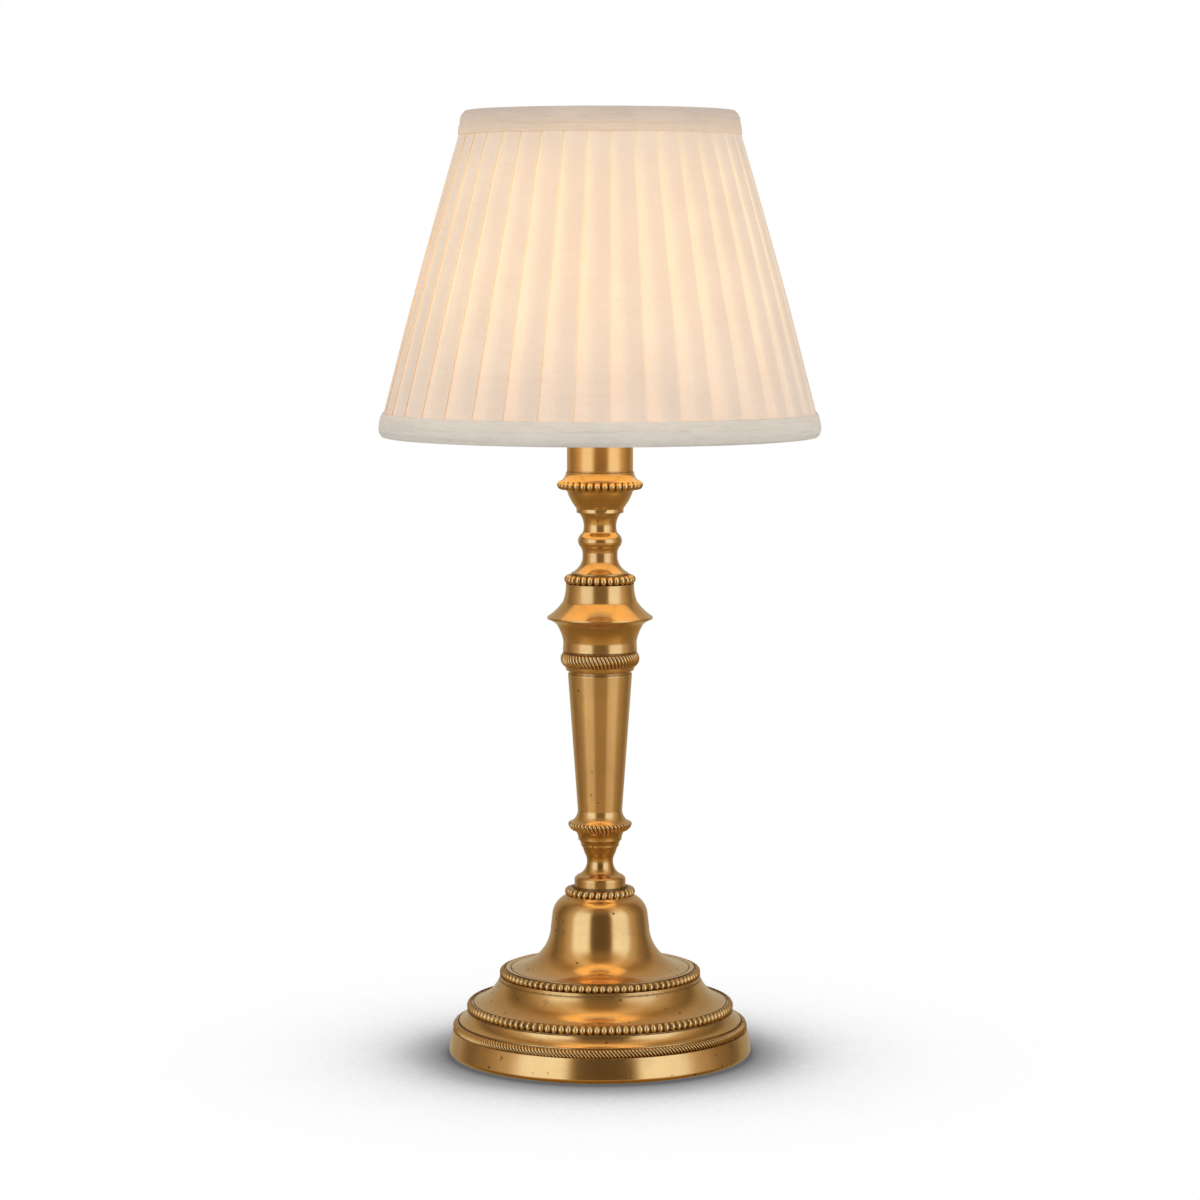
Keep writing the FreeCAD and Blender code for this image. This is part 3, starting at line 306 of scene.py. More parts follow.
def scored(outline, lines):
    """Cuts fine turned lines into the outline: lines are (height, radius, width, depth) in millimetres."""
    for line in lines:
        height, radius, width, depth = (value * MM for value in line)
        place = Vector((radius, height))
        near = min(range(len(outline)), key=lambda i: (outline[i] - place).length)
        along = (outline[(near + 1) % len(outline)] - outline[near - 1]).normalized()
        inwards = Vector((-along.y, along.x))
        centre = outline[near]
        kept = [p for p in outline[near:] + outline[:near]
                if abs((p - centre).dot(along)) > width * 0.75 or abs((p - centre).dot(inwards)) > width]
        outline = [centre + along * (width * t) + inwards * (depth * deep) for t, deep in GROOVE] + kept
    return outline


def lathe(name, outline, material, segments):
    """Turns a closed outline, which runs anticlockwise in (radius, height), round Z."""
    angles = [2 * math.pi * k / segments for k in range(segments)]
    places = [(point.x * math.cos(a), point.x * math.sin(a), point.y) for point in outline for a in angles]
    return mesh_piece(name, places, grid_faces(len(outline), segments, columns_close=True), material)


def shelter_tree():
    """Every brass outline as a wall across the plane y = 0, to look for sheltered places to paint shade and
    grime in.
    """
    places, faces = [], []
    for node in NODES:
        if SLOTS[node] in ("brass", "tube_brass"):
            outline = outline_of(node)
            start = len(places)
            for point in outline:
                places += [(point.x, -1, point.y), (point.x, 1, point.y)]
            for i in range(len(outline)):
                one, two = start + 2 * i, start + 2 * ((i + 1) % len(outline))
                faces.append((one, one + 1, two + 1, two))
    return BVHTree.FromPolygons(places, faces)


def sheltered(tree, outline, reach=0.0042, fan=15, clear=0.00006, gain=1.25):
    """For each point of an outline, how much of its view is shut in by brass close by, from 0 to 1.

    A fan of rays leaves from just clear of the point, and a wall counts for more the closer it is. The brass
    takes its grime and painted shade from this share.
    """
    count = len(outline)
    shares = []
    for i, point in enumerate(outline):
        along = (outline[(i + 1) % count] - outline[i - 1]).normalized()
        outwards = Vector((along.y, -along.x))
        start = point + outwards * clear
        shut = 0
        for k in range(fan):
            angle = math.pi * (k + 0.5) / fan
            way = along * math.cos(angle) + outwards * math.sin(angle)
            hit = tree.ray_cast(Vector((start.x, 0, start.y)), Vector((way.x, 0, way.y)), reach)[3]
            if hit is not None:
                shut += math.sin(angle) * (1 - hit / reach)
        shares.append(min(1, shut * math.pi / (2 * fan) * gain))
    return [(shares[i - 1] + 2 * shares[i] + shares[(i + 1) % count]) / 4 for i in range(count)]


# ---- node trees

def fill(node, values):
    """Gives a node's inputs, by name or number, sockets or plain values. A colour needs no alpha."""
    for key, value in dict(values).items():
        socket = node.inputs[key]
        if isinstance(value, bpy.types.NodeSocket):
            node.id_data.links.new(value, socket)
        else:
            socket.default_value = (*value, 1.0) if socket.type == "RGBA" and len(value) == 3 else value


def add(tree, kind, values=(), **fields):
    """Adds a node with its fields set and its inputs filled."""
    node = tree.nodes.new(kind)
    for field, value in fields.items():
        setattr(node, field, value)
    fill(node, values)
    return node


def after(kind, values, **fields):
    """Adds a node behind the sockets among its values, listed or by name, and gives its first output."""
    values = values if isinstance(values, dict) else dict(enumerate(values))
    tree = next(value.id_data for value in values.values() if isinstance(value, bpy.types.NodeSocket))
    return add(tree, kind, values, **fields).outputs[0]


def math_of(operation, *values):
    return after("ShaderNodeMath", values, operation=operation)


def plus(total, *values):
    for value in values:
        total = math_of("ADD", total, value)
    return total


def times(product, *values):
    for value in values:
        product = math_of("MULTIPLY", product, value)
    return product


def vector_of(operation, *values):
    return after("ShaderNodeVectorMath", values, operation=operation)


def scaled(vector, scale):
    return after("ShaderNodeVectorMath", {0: vector, "Scale": scale}, operation="SCALE")


def mixed(factor, one, two):
    return after("ShaderNodeMix", {"Factor": factor, 6: one, 7: two}, data_type="RGBA").node.outputs[2]


def spread(value, low, high, to_low=0.0, to_high=1.0):
    """The value from low to high, spread over to_low to to_high and held there beyond."""
    return after("ShaderNodeMapRange",
                 {"Value": value, "From Min": low, "From Max": high, "To Min": to_low, "To Max": to_high},
                 interpolation_type="SMOOTHSTEP")


def cloudy(place, scale, detail=3.0, rough=0.5, *span):
    """Noise. span, where it is given, holds the numbers that spread takes."""
    values = {"Vector": place, "Scale": scale, "Detail": detail, "Roughness": rough}
    tone = after("ShaderNodeTexNoise", values)
    return spread(tone, *span) if span else tone


def cells_of(place, scale):
    """Round cells: how far each place is from its cell's middle, and three numbers drawn for the cell."""
    cells = after("ShaderNodeTexVoronoi", {"Vector": place, "Scale": scale, "Randomness": 1.0}).node.outputs
    return cells["Distance"], after("ShaderNodeSeparateColor", [cells["Color"]]).node.outputs


def object_place(tree, scale=(1, 1, 1)):
    """Object coordinates, stretched by a Mapping node."""
    source = add(tree, "ShaderNodeTexCoord").outputs["Object"]
    return after("ShaderNodeMapping", {"Vector": source, "Scale": scale})


def height_share(tree, low, high):
    """How far up a point lies between two heights, from 0 to 1, on Object coordinates."""
    source = add(tree, "ShaderNodeTexCoord").outputs["Object"]
    height = after("ShaderNodeSeparateXYZ", [source]).node.outputs["Z"]
    return after("ShaderNodeMapRange", {"Value": height, "From Min": low, "From Max": high})


def ramp(value, stops, interpolation="EASE"):
    """A smooth run of greys or colours through (place, tone) stops."""
    colours = after("ShaderNodeValToRGB", [value])
    colours.node.color_ramp.interpolation = interpolation
    points = colours.node.color_ramp.elements
    while len(points) < len(stops):
        points.new(0.5)
    for point, (place, tone) in zip(points, stops):
        point.position = place
        point.color = (*tone, 1) if isinstance(tone, tuple) else (tone, tone, tone, 1)
    return colours


def stored(tree, name):
    return add(tree, "ShaderNodeAttribute", attribute_name=name).outputs["Fac"]


def new_group(name, kind, inputs, outputs):
    """A node group with named sockets: each is (name, kind, default)."""
    tree = bpy.data.node_groups.new(name, kind)
    for side, sockets in (("INPUT", inputs), ("OUTPUT", outputs)):
        for label, socket_kind, *default in sockets:
            socket = tree.interface.new_socket(label, in_out=side, socket_type=f"NodeSocket{socket_kind}")
            if default:
                socket.default_value = default[0]
    return tree, tree.nodes.new("NodeGroupInput").outputs, tree.nodes.new("NodeGroupOutput")


def shared(build):
    """The node group that a function builds, built once and placed by several materials or pieces."""
    return bpy.data.node_groups.get(build.__name__) or build(build.__name__)


# ---- shared finishes

def old_metal(name):
    """Metal with tarnish clouds, a fine mottle, grime and painted shade in its recesses, pits, worn chips and
    turning marks, and crowns rubbed pale as rubbed wear and a painted highlight.
    """
    tree, source, result = new_group(name, "ShaderNodeTree", (
        ("Metal", "Color", (0.8, 0.5, 0.2, 1)), ("Tarnish", "Color", (0.5, 0.27, 0.09, 1)),
        ("Grime", "Color", (0.07, 0.04, 0.02, 1)), ("Recess", "Float", 0.0), ("Tarnish Share", "Float", 0.4),
        ("Pits", "Float", 1.0), ("Turning Marks", "Float", 1.0), ("Smoothness", "Float", 0.2),
        ("Bare Metal", "Float", 1.0), ("Rubbed", "Color", (0.98, 0.70, 0.32, 1))),
        (("Color", "Color"), ("Roughness", "Float"), ("Height", "Float"), ("Metallic", "Float"),
         ("Lacquer", "Float")))
    place = object_place(tree)
    clouds = cloudy(place, 26, 5, 0.62, 0.36, 0.70)
    mottle = cloudy(place, 420, 3, 0.6, 0.40, 0.72)
    streaks = cloudy(object_place(tree, (30, 30, 900)), 1.0, 3, 0.6, 0.45, 0.75)
    share = times(plus(clouds, times(mottle, 0.22)), source["Tarnish Share"])
    share = plus(share, times(streaks, times(source["Turning Marks"], 0.10)))
    worn = mixed(math_of("MINIMUM", share, 0.9), source["Metal"], source["Tarnish"])
    # Crowns marked below zero get the pale rubbed colour: rubbed wear and a painted highlight.
    worn = mixed(spread(source["Recess"], -0.3, -0.02, 0.7, 0.0), worn, source["Rubbed"])

    distance, drawn = cells_of(place, 300)
    round_pit = math_of("LESS_THAN", distance, times(drawn[0], 0.23))
    rare = math_of("GREATER_THAN", drawn[0], 0.62)
    where = cloudy(place, 48, 2, 0.5, 0.50, 0.60)
    pit = times(round_pit, rare, times(where, source["Pits"]))

    ragged = cloudy(place, 420).node.outputs["Color"]
    distance, drawn = cells_of(vector_of("ADD", place, scaled(ragged, 0.0055)), 50)
    reach = spread(drawn[0], 0.72, 1.0, 0.03, 0.14)
    reach = times(reach, math_of("GREATER_THAN", drawn[0], 0.72))
    chip = times(math_of("LESS_THAN", distance, reach), source["Pits"])
    chip_tone = times(chip, spread(drawn[1], 0.3, 0.6, 0.2, 0.55))

    uneven = cloudy(place, 420, 3, 0.6, 0.3, 0.7, 0.75, 1.15)
    # Sheltered places darken towards the grime colour: grime and painted shade.
    recess = times(spread(source["Recess"], 0.06, 0.62), uneven)
    dark = math_of("MAXIMUM", times(recess, 0.86), times(pit, 0.85))
    dark = math_of("MINIMUM", math_of("MAXIMUM", dark, chip_tone), 1.0)
    rough = plus(source["Smoothness"], times(share, 0.12), times(dark, 0.30),
                 cloudy(place, 700, 3, 0.6, 0.3, 0.7, -0.02, 0.02))

    turned = cloudy(object_place(tree, (10, 10, 1150)), 1.0, 2, 0.6)
    lines = times(turned, source["Turning Marks"])
    dents = times(cloudy(place, 120, 1), 1.4)
    grain = times(cloudy(place, 800, 1), 0.10)
    hollows = times(math_of("MAXIMUM", pit, chip), 4.0)
    fill(result, {
        "Color": mixed(dark, worn, source["Grime"]),
        "Roughness": rough,
        "Height": math_of("SUBTRACT", plus(lines, dents, grain), hollows),
        "Metallic": times(spread(dark, 0.0, 1.0, 1.0, 0.65), source["Bare Metal"]),
        "Lacquer": spread(dark, 0.1, 0.7, 1.0, 0.1)})
    return tree


def woven(name):
    """Plain-woven cloth: a fine weave, slubs, creases and soft colour changes."""
    tree, source, result = new_group(name, "ShaderNodeTree", (
        ("Cloth", "Color", (0.8, 0.75, 0.66, 1)), ("Threads", "Float", 2600.0), ("Slub", "Float", 1.0)),
        (("Color", "Color"), ("Height", "Float")))
    place = object_place(tree)
    threads = [after("ShaderNodeTexWave", {
        "Vector": place, "Scale": source["Threads"], "Distortion": bend, "Detail": 1.0, "Detail Scale": 3.0},
        wave_type="BANDS", bands_direction=way).node.outputs["Fac"] for way, bend in (("Z", 1.2), ("X", 1.6))]
    weave = times(*threads)
    slubs = cloudy(object_place(tree, (1, 1, 9)), 150, 4, 0.65, 0.45, 0.75)
    creases = cloudy(object_place(tree, (16, 16, 620)), 1.0, 2, 0.5, 0.50, 0.68)
    rises = plus(times(slubs, source["Slub"]), times(creases, source["Slub"]))
    tone = plus(spread(weave, 0.0, 0.6, 0.95, 1.02),
                cloudy(place, 34, 3, 0.5, 0.3, 0.7, -0.03, 0.03))
    tone = math_of("SUBTRACT", tone, times(rises, 0.035))
    fill(result, {"Color": scaled(source["Cloth"], tone),
                  "Height": plus(weave, times(rises, 1.6))})
    return tree


def grained(name):
    """A fine moulded or painted skin: small pores and faint clouds."""
    tree, source, result = new_group(name, "ShaderNodeTree", (
        ("Body", "Color", (0.05, 0.05, 0.05, 1)), ("Fleck", "Color", (0.08, 0.08, 0.08, 1)),
        ("Grain", "Float", 900.0), ("Smoothness", "Float", 0.3)),
        (("Color", "Color"), ("Roughness", "Float"), ("Height", "Float")))
    place = object_place(tree)
    fine = cloudy(place, source["Grain"], 3, 0.6)
    share = plus(spread(fine, 0.45, 0.8, 0, 0.6), cloudy(place, 45, 3, 0.5, 0.4, 0.7, 0, 0.4))
    fill(result, {"Color": mixed(share, source["Body"], source["Fleck"]), "Height": fine,
                  "Roughness": plus(source["Smoothness"], times(share, 0.16))})
    return tree


def new_material(name):
    material = bpy.data.materials.new(name)
    material.use_nodes = True
    return material, material.node_tree, material.node_tree.nodes["Principled BSDF"]


def skin(name, build, values, lift, links=()):
    """A material that takes its colour, its bumps and its linked inputs from a shared group.

    The bumps are lift metres high, and links maps inputs of the shader to outputs of the group.
    """
    material, tree, shader = new_material(name)
    group = add(tree, "ShaderNodeGroup", values, node_tree=shared(build))
    bumps = after("ShaderNodeBump", {"Height": group.outputs["Height"], "Strength": 1.0, "Distance": lift})
    fill(shader, {"Base Color": group.outputs["Color"], "Normal": bumps})
    fill(shader, {label: group.outputs[output] for label, output in dict(links).items()})
    return material, shader, group


METAL_LINKS = {"Roughness": "Roughness", "Metallic": "Metallic"}


def brass_finish(name, gold, pits, bare, marks=0.4, smoothness=0.16, tarnish=0.40):
    """Lacquered old brass, with grime and painted shade where its recess attribute says that it is sheltered.
    """
    brass = settings("lamp_brass")
    material, shader, group = skin(name, old_metal, {
        "Metal": gold, "Tarnish": brass.brown, "Grime": brass.grime, "Tarnish Share": tarnish, "Pits": pits,
        "Turning Marks": marks, "Smoothness": smoothness, "Bare Metal": bare},
        0.012 * MM, {**METAL_LINKS, "Coat Weight": "Lacquer"})
    fill(group, {"Recess": stored(group.id_data, "recess")})
    fill(shader, {"Coat Roughness": smoothness, "Coat IOR": 1.8})
    return material


def metal_finish(name, metal, tarnish, smoothness, marks=1.0, tarnish_share=0.3):
    """Plain metal of the fittings, which has no lacquer and no recess attribute."""
    return skin(name, old_metal, {
        "Metal": metal, "Tarnish": tarnish, "Grime": (0.05, 0.045, 0.04), "Tarnish Share": tarnish_share,
        "Pits": 0.4, "Turning Marks": marks, "Smoothness": smoothness}, 0.01 * MM, METAL_LINKS)[0]


def moulded_finish(name, body, fleck, smoothness, grain=900, lift=0.02 * MM, constants=()):
    """A moulded, painted or felted skin. constants maps more inputs of the shader to plain values."""
    material, shader, _ = skin(name, grained, {
        "Body": body, "Fleck": fleck, "Grain": grain, "Smoothness": smoothness},
        lift, {"Roughness": "Roughness"})
    fill(shader, constants)
    return material


def glowing_finish(name, body, fleck, smoothness, glow, strength, transmission=0.0):
    return moulded_finish(name, body, fleck, smoothness, 300, 0.01 * MM, {
        "Emission Color": glow, "Emission Strength": strength, "Transmission Weight": transmission})


# The cover's painted glow at two heights above its middle, in shares of the glow at the middle.
UPPER_GLOW = 0.95
HEAD_GLOW = 0.55


def cover_finish():
    """Pleated cloth with a painted glow for the bulb's light through it.

    The glow is brightest half way up in one layer, and dimmer where the cloth turns away.
    """
    shade = settings("lamp_shade")
    values = {"Cloth": shade.cloth, "Threads": 2100.0, "Slub": 0.6}
    material, shader, _ = skin("pleated_cloth", woven, values, 0.05 * MM)
    tree = material.node_tree
    # The painted glow is brightest half way up the cover and fainter at both edges.
    rise = height_share(tree, *heights("pleated_cover"))
    glows = []
    for foot, middle in ((shade.fold_foot_glow, shade.fold_glow), (shade.strip_foot_glow, shade.strip_glow)):
        upper, head = (tuple(share * value for value in middle) for share in (UPPER_GLOW, HEAD_GLOW))
        glows.append(ramp(rise, ((0.0, tuple(foot)), (0.5, tuple(middle)), (0.78, upper), (1.0, head))))
    glow = mixed(stored(tree, "one_layer_glow"), *glows)
    patchy = cloudy(object_place(tree, (1, 1, 0.35)), 60, 2, 0.5, 0.3, 0.7, 0.94, 1.05)
    # Random patches, and painted shade where the cloth turns away from the view.
    turned_away = add(tree, "ShaderNodeLayerWeight", {"Blend": 0.5}).outputs["Facing"]
    patchy = times(patchy, spread(turned_away, 0.15, 0.85, 1.02, 0.66))
    fill(shader, {"Roughness": 0.85, "Sheen Weight": 0.15, "Sheen Roughness": 0.5,
                  "Emission Color": scaled(glow, patchy), "Emission Strength": 1.0})
    return material


# The bindings' painted glow by height over the whole shade, in shares of the binding glow.
BINDING_GLOW = ((0.0, 0.0), (0.02, 0.05), (0.07, 0.3), (0.5, 0.5), (0.915, 1.0), (0.94, 0.7), (0.99, 0.02))


def binding_finish():
    """Binding cloth: darker and browner at the top with a painted glow through it, paler at the bottom."""
    shade = settings("lamp_shade")
    material, shader, cloth = skin("binding_cloth", woven, {"Threads": 2500.0, "Slub": 1.6}, 0.06 * MM)
    rise = height_share(material.node_tree, heights("bottom_trim")[0], heights("top_trim")[1])
    fill(cloth, {"Cloth": mixed(spread(rise, 0.4, 0.6), shade.binding, shade.upper_binding)})
    glow = vector_of("MULTIPLY", tuple(shade.binding_glow), ramp(rise, BINDING_GLOW, "LINEAR"))
    fill(shader, {"Roughness": 0.8, "Sheen Weight": 0.2, "Emission Color": glow, "Emission Strength": 1.0})
    return material


# ---- brass pieces

# Fine turned lines by piece: (height, radius, width, depth) in millimetres.
LINES = {
    "base_shell": ((24.6, 59.3, 0.6, 0.14), (40.5, 44.2, 0.6, 0.13), (41.0, 41.4, 0.7, 0.12),
                   (20.6, 61.6, 0.6, 0.12)),
    "capital": ((188.9, 17.3, 0.5, 0.2),),
    "lower_knop": ((79.0, 11.9, 0.5, 0.15),),
}
COLUMN_RECESS = 0.34        # the column's grime and painted shade in its recesses go no darker than this
BUSHING_LAP = 0.6 * MM      # how far the cord bushing's rim laps over its hole
BUSHING_REACH = 20 * MM
SWITCH_GAP = 0.15 * MM


def applied(piece):
    """Turns the piece's modifiers into plain mesh."""
    depsgraph = bpy.context.evaluated_depsgraph_get()
    mesh = bpy.data.meshes.new_from_object(piece.evaluated_get(depsgraph), preserve_all_data_layers=True,
                                           depsgraph=depsgraph)
    piece.modifiers.clear()
    piece.data = mesh
    return piece


def bored(piece, radius, start, end):
    """Cuts a round hole through the piece, from one place to another."""
    mesh = bpy.data.meshes.new("bore_bar")
    shape = bmesh.new()
    way = end - start
    turn = way.to_track_quat("Z", "Y").to_matrix().to_4x4()
    bmesh.ops.create_cone(shape, cap_ends=True, segments=48, radius1=radius, radius2=radius, depth=way.length,
                          matrix=Matrix.Translation((start + end) / 2) @ turn)
    shape.to_mesh(mesh)
    shape.free()
    cutter = linked("bore_bar", mesh)
    cut = piece.modifiers.new("bore", "BOOLEAN")
    cut.operation = "DIFFERENCE"
    cut.object = cutter
    applied(piece)
    piece.data.set_sharp_from_angle(angle=math.radians(50))
    bpy.data.objects.remove(cutter)


def takes_over(piece, node):
    """The piece rides on the CAD piece's body and stands in its place."""
    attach(piece, BODY_OF[node])
    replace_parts(piece, node)


class LAMP_OT_turned_brass(bpy.types.Operator):
    """Turn the base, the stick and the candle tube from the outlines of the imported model"""
    bl_idname = "lamp.turned_brass"
    bl_label = "Turned brass"

    def execute(self, context):
        brass = settings("lamp_brass")
        plain = brass_finish("old_brass", brass.gold, pits=1.0, bare=0.97)
        satin = brass_finish("satin_brass", brass.gold, pits=0.8, bare=0.84)
        brushed = brass_finish("brushed_brass", brass.tube_gold, pits=0.1, bare=0.86, marks=1.5,
                               smoothness=0.24, tarnish=0.12)
        walls = shelter_tree()
        for node in TURNED:
            outline = scored(eased(outline_of(node), brass.edge_radius), LINES.get(node, ()))
            material = {"base_shell": plain, "lower_knop": plain, "candle_tube": brushed}.get(node, satin)
            piece = lathe(f"{node}_brass", outline, material, brass.segments)
            # The recess attribute paints grime and shade where brass close by shelters the surface.
            deepest = COLUMN_RECESS if node == "column" else 1.0
            recesses = [min(share, deepest) for share in sheltered(walls, outline)]
            mark(piece, "recess", [recess for recess in recesses for _ in range(brass.segments)])
            if node == "base_shell":
                low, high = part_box("cord_bushing")
                start = Vector((0, low.y - 2 * MM, (low.z + high.z) / 2))
                bored(piece, (high.z - low.z) / 2 - BUSHING_LAP, start, start + Vector((0, BUSHING_REACH, 0)))
            elif node == "candle_tube":
                low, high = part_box("switch_bar")
                ends = [Vector((corner.x, 0, (low.z + high.z) / 2)) for corner in (low, high)]
                bored(piece, (high.z - low.z) / 2 + SWITCH_GAP, *ends)
            takes_over(piece, node)
        return {"FINISHED"}


def round_row(name):
    """Copies one piece round Z, joins the copies edge to edge, and lets them stray a little."""
    tree, source, result = new_group(name, "GeometryNodeTree", (
        ("Piece", "Geometry"), ("Count", "Int", 40), ("Join Distance", "Float", 0.00001),
        ("Stray Round", "Float", 0.0), ("Stray Out", "Float", 0.0),
        ("Stray Scale", "Vector", (80.0, 80.0, 8.0)), ("Seed", "Int", 3), ("Finish", "Material")),
        (("Row", "Geometry"),))
    tree.is_modifier = True
    points = after("GeometryNodePoints", {"Count": source["Count"]})
    step = math_of("DIVIDE", math.tau, source["Count"])
    turn = times(add(tree, "GeometryNodeInputIndex").outputs[0], step)
    facing = after("FunctionNodeEulerToRotation", [after("ShaderNodeCombineXYZ", {"Z": turn})])
    row = after("GeometryNodeInstanceOnPoints",
                {"Points": points, "Instance": source["Piece"], "Rotation": facing})
    row = after("GeometryNodeRealizeInstances", [row])
    row = after("GeometryNodeMergeByDistance", {"Geometry": row, "Distance": source["Join Distance"]})
    place = add(tree, "GeometryNodeInputPosition").outputs[0]
    noisy = after("ShaderNodeTexNoise", {
        "Vector": vector_of("MULTIPLY", place, source["Stray Scale"]), "W": source["Seed"], "Scale": 1.0,
        "Detail": 1.0}, noise_dimensions="4D").node.outputs["Color"]
    noisy = vector_of("SUBTRACT", noisy, (0.5, 0.5, 0.5))
    out_share, round_share = after("ShaderNodeSeparateXYZ", [noisy]).node.outputs[:2]
    outwards = vector_of("NORMALIZE", vector_of("MULTIPLY", place, (1, 1, 0)))
    around = vector_of("CROSS_PRODUCT", (0, 0, 1), outwards)
    move = vector_of("ADD", scaled(outwards, times(out_share, source["Stray Out"])),
                     scaled(around, times(round_share, source["Stray Round"])))
    row = after("GeometryNodeSetPosition", {"Geometry": row, "Offset": move})
    row = after("GeometryNodeSetMaterial", {"Geometry": row, "Material": source["Finish"]})
    fill(result, {0: row})
    return tree


def repeated(piece, values):
    """Turns the piece, one part of a round row, into the whole row, with the row tree's inputs by name."""
    modifier = piece.modifiers.new("row", "NODES")
    modifier.node_group = shared(round_row)
    for item in modifier.node_group.interface.items_tree:
        if item.item_type == "SOCKET" and item.in_out == "INPUT" and item.name in values:
            modifier[item.identifier] = values[item.name]
    return applied(piece)


# Each row: its beads or strands round the lamp, the angle of the first from the front in degrees, their lean
# in degrees, how much taller than its ring a row stands, how proud it is in millimetres, the depth of its
# grooves in shares of the pitch, how much a bead narrows towards its ends, and its width in shares of the
# pitch.
ROWS = {
    "foot_rope_band": (252, -0.4, -38, 1.40, 0.60, 0.50, 0.0, 0.76),
    "foot_bead_ring": (116, -1.3, 0, 1.24, 0.35, 0.42, 0.85, 0.93),
    "tier_bead_ring": (87, 1.5, 3, 1.26, 0.35, 0.40, 0.85, 0.93),
    "dome_bead_ring": (31, -3.7, 11, 1.34, 0.35, 0.42, 0.80, 0.93),
    "lower_rope_ring": (44, -0.5, -22, 1.06, 0.25, 0.42, 0.25, 0.88),
    "upper_rope_ring": (60, 0.3, -22, 1.04, 0.20, 0.42, 0.20, 0.86),
    "capital_bead_ring": (30, -5.7, 0, 1.12, 0.25, 0.42, 0.90, 0.93),
    "cup_bead_ring": (34, -3.8, 0, 1.12, 0.25, 0.42, 0.90, 0.93),
}
FINE_ROW = 60       # a row with more beads or strands than this has fewer faces on each
DENSE_ROW = 200     # a row with more than this has wider dark grooves
# How dark a lobe's back and its grooves are painted, as grime and painted shade, and how far its crown is
# painted bright, as rubbed wear and a painted highlight, from 0 to 1.
BACK_RECESS, GROOVE_RECESS, CROWN_RUB_HIGHLIGHT = 0.9, 0.85, 0.3


def contour_of(outline, inner, steps):
    """The outer face of a ring's section, from its lower to its upper edge, in equal steps."""
    face = sorted((p for p in outline if p.x > inner + 0.01 * MM), key=lambda p: p.y)
    lengths = [0.0]
    for one, two in zip(face, face[1:]):
        lengths.append(lengths[-1] + (two - one).length)
    contour = []
    for k in range(steps + 1):
        reach = lengths[-1] * k / steps
        n = max(1, next((i for i, length in enumerate(lengths) if length >= reach), len(face) - 1))
        contour.append(face[n - 1].lerp(face[n], (reach - lengths[n - 1]) / (lengths[n] - lengths[n - 1])))
    return contour


def lobe(node, row, finish):
    """One bead or strand: the ring's own section, carried over one pitch and crowned between two grooves."""
    count, first, lean, grow, proud, groove, pinch, breadth = row
    outline = section_of(node)
    inner, outer = min(p.x for p in outline), max(p.x for p in outline)
    low, high = min(p.y for p in outline), max(p.y for p in outline)
    middle = (low + high) / 2
    ups, across = (8, 4) if count > FINE_ROW else (12, 6)
    dark_width = 1.3 if count > DENSE_ROW else 2.2
    pitch = 2 * math.pi / count
    places, recesses = [], []

    def rib(radius, height, depth, width):
        """One row of points over the pitch: a groove, the crown's half circle, and a groove."""
        lean_turn = math.tan(math.radians(lean)) * (height - middle) / outer
        bends = [math.pi * k / across for k in range(across + 1)]
        columns = [(-1.0, 0.0), *((-width * math.cos(bend), math.sin(bend)) for bend in bends), (1.0, 0.0)]
        for side, crown in columns:
            angle = math.radians(first) + pitch * side / 2 + lean_turn
            out = radius - depth * (1 - crown)
            places.append((out * math.sin(angle), -out * math.cos(angle), height))
            # Grooves and the lobe's back take grime and painted shade, the crown rubbed wear and a painted
            # highlight.
            shaped = GROOVE_RECESS * (1 - crown) ** dark_width - CROWN_RUB_HIGHLIGHT * crown ** 6
            recesses.append(BACK_RECESS if depth == 0 else shaped)
        return len(columns)

    contour = contour_of(outline, inner, ups)
    for k, point in enumerate(contour):
        end = 2 * k / ups - 1
        full = math.sqrt(max(0.0, 1 - end * end))
        width = breadth * math.sqrt(max(0.04, 1 - pinch * end * end))
        radius = point.x + proud * MM * full
        depth = min(groove * pitch * outer, radius - inner - 0.2 * MM) * (0.25 + 0.75 * full)
        wide = rib(radius, middle + (point.y - middle) * grow, max(depth, 0.01 * MM), width)
    for edge in (high, low):
        rib(inner, middle + (edge - middle) * grow, 0, breadth)
    piece = mesh_piece(f"{node}_row", places, grid_faces(len(contour) + 2, wide), finish)
    mark(piece, "recess", recesses)
    return repeated(piece, {"Count": count, "Finish": finish, "Stray Round": 0.06 * pitch * outer,
                            "Stray Out": 0.3 * MM, "Stray Scale": (300.0, 300.0, 120.0)})


class LAMP_OT_ornament_rows(bpy.types.Operator):
    """Set the bead rows and rope rings in their places"""
    bl_idname = "lamp.ornament_rows"
    bl_label = "Bead rows and rope rings"

    def execute(self, context):
        finish = bpy.data.materials["old_brass"]
        for node, row in ROWS.items():
            takes_over(lobe(node, row, finish), node)
        return {"FINISHED"}


# ---- shade

COVER_BANDS = 36        # bands of faces up the cover
TAPE_SEGMENTS = 288
TAPE_EDGE = 1.1 * MM    # how far the edges of the folded tape are rounded


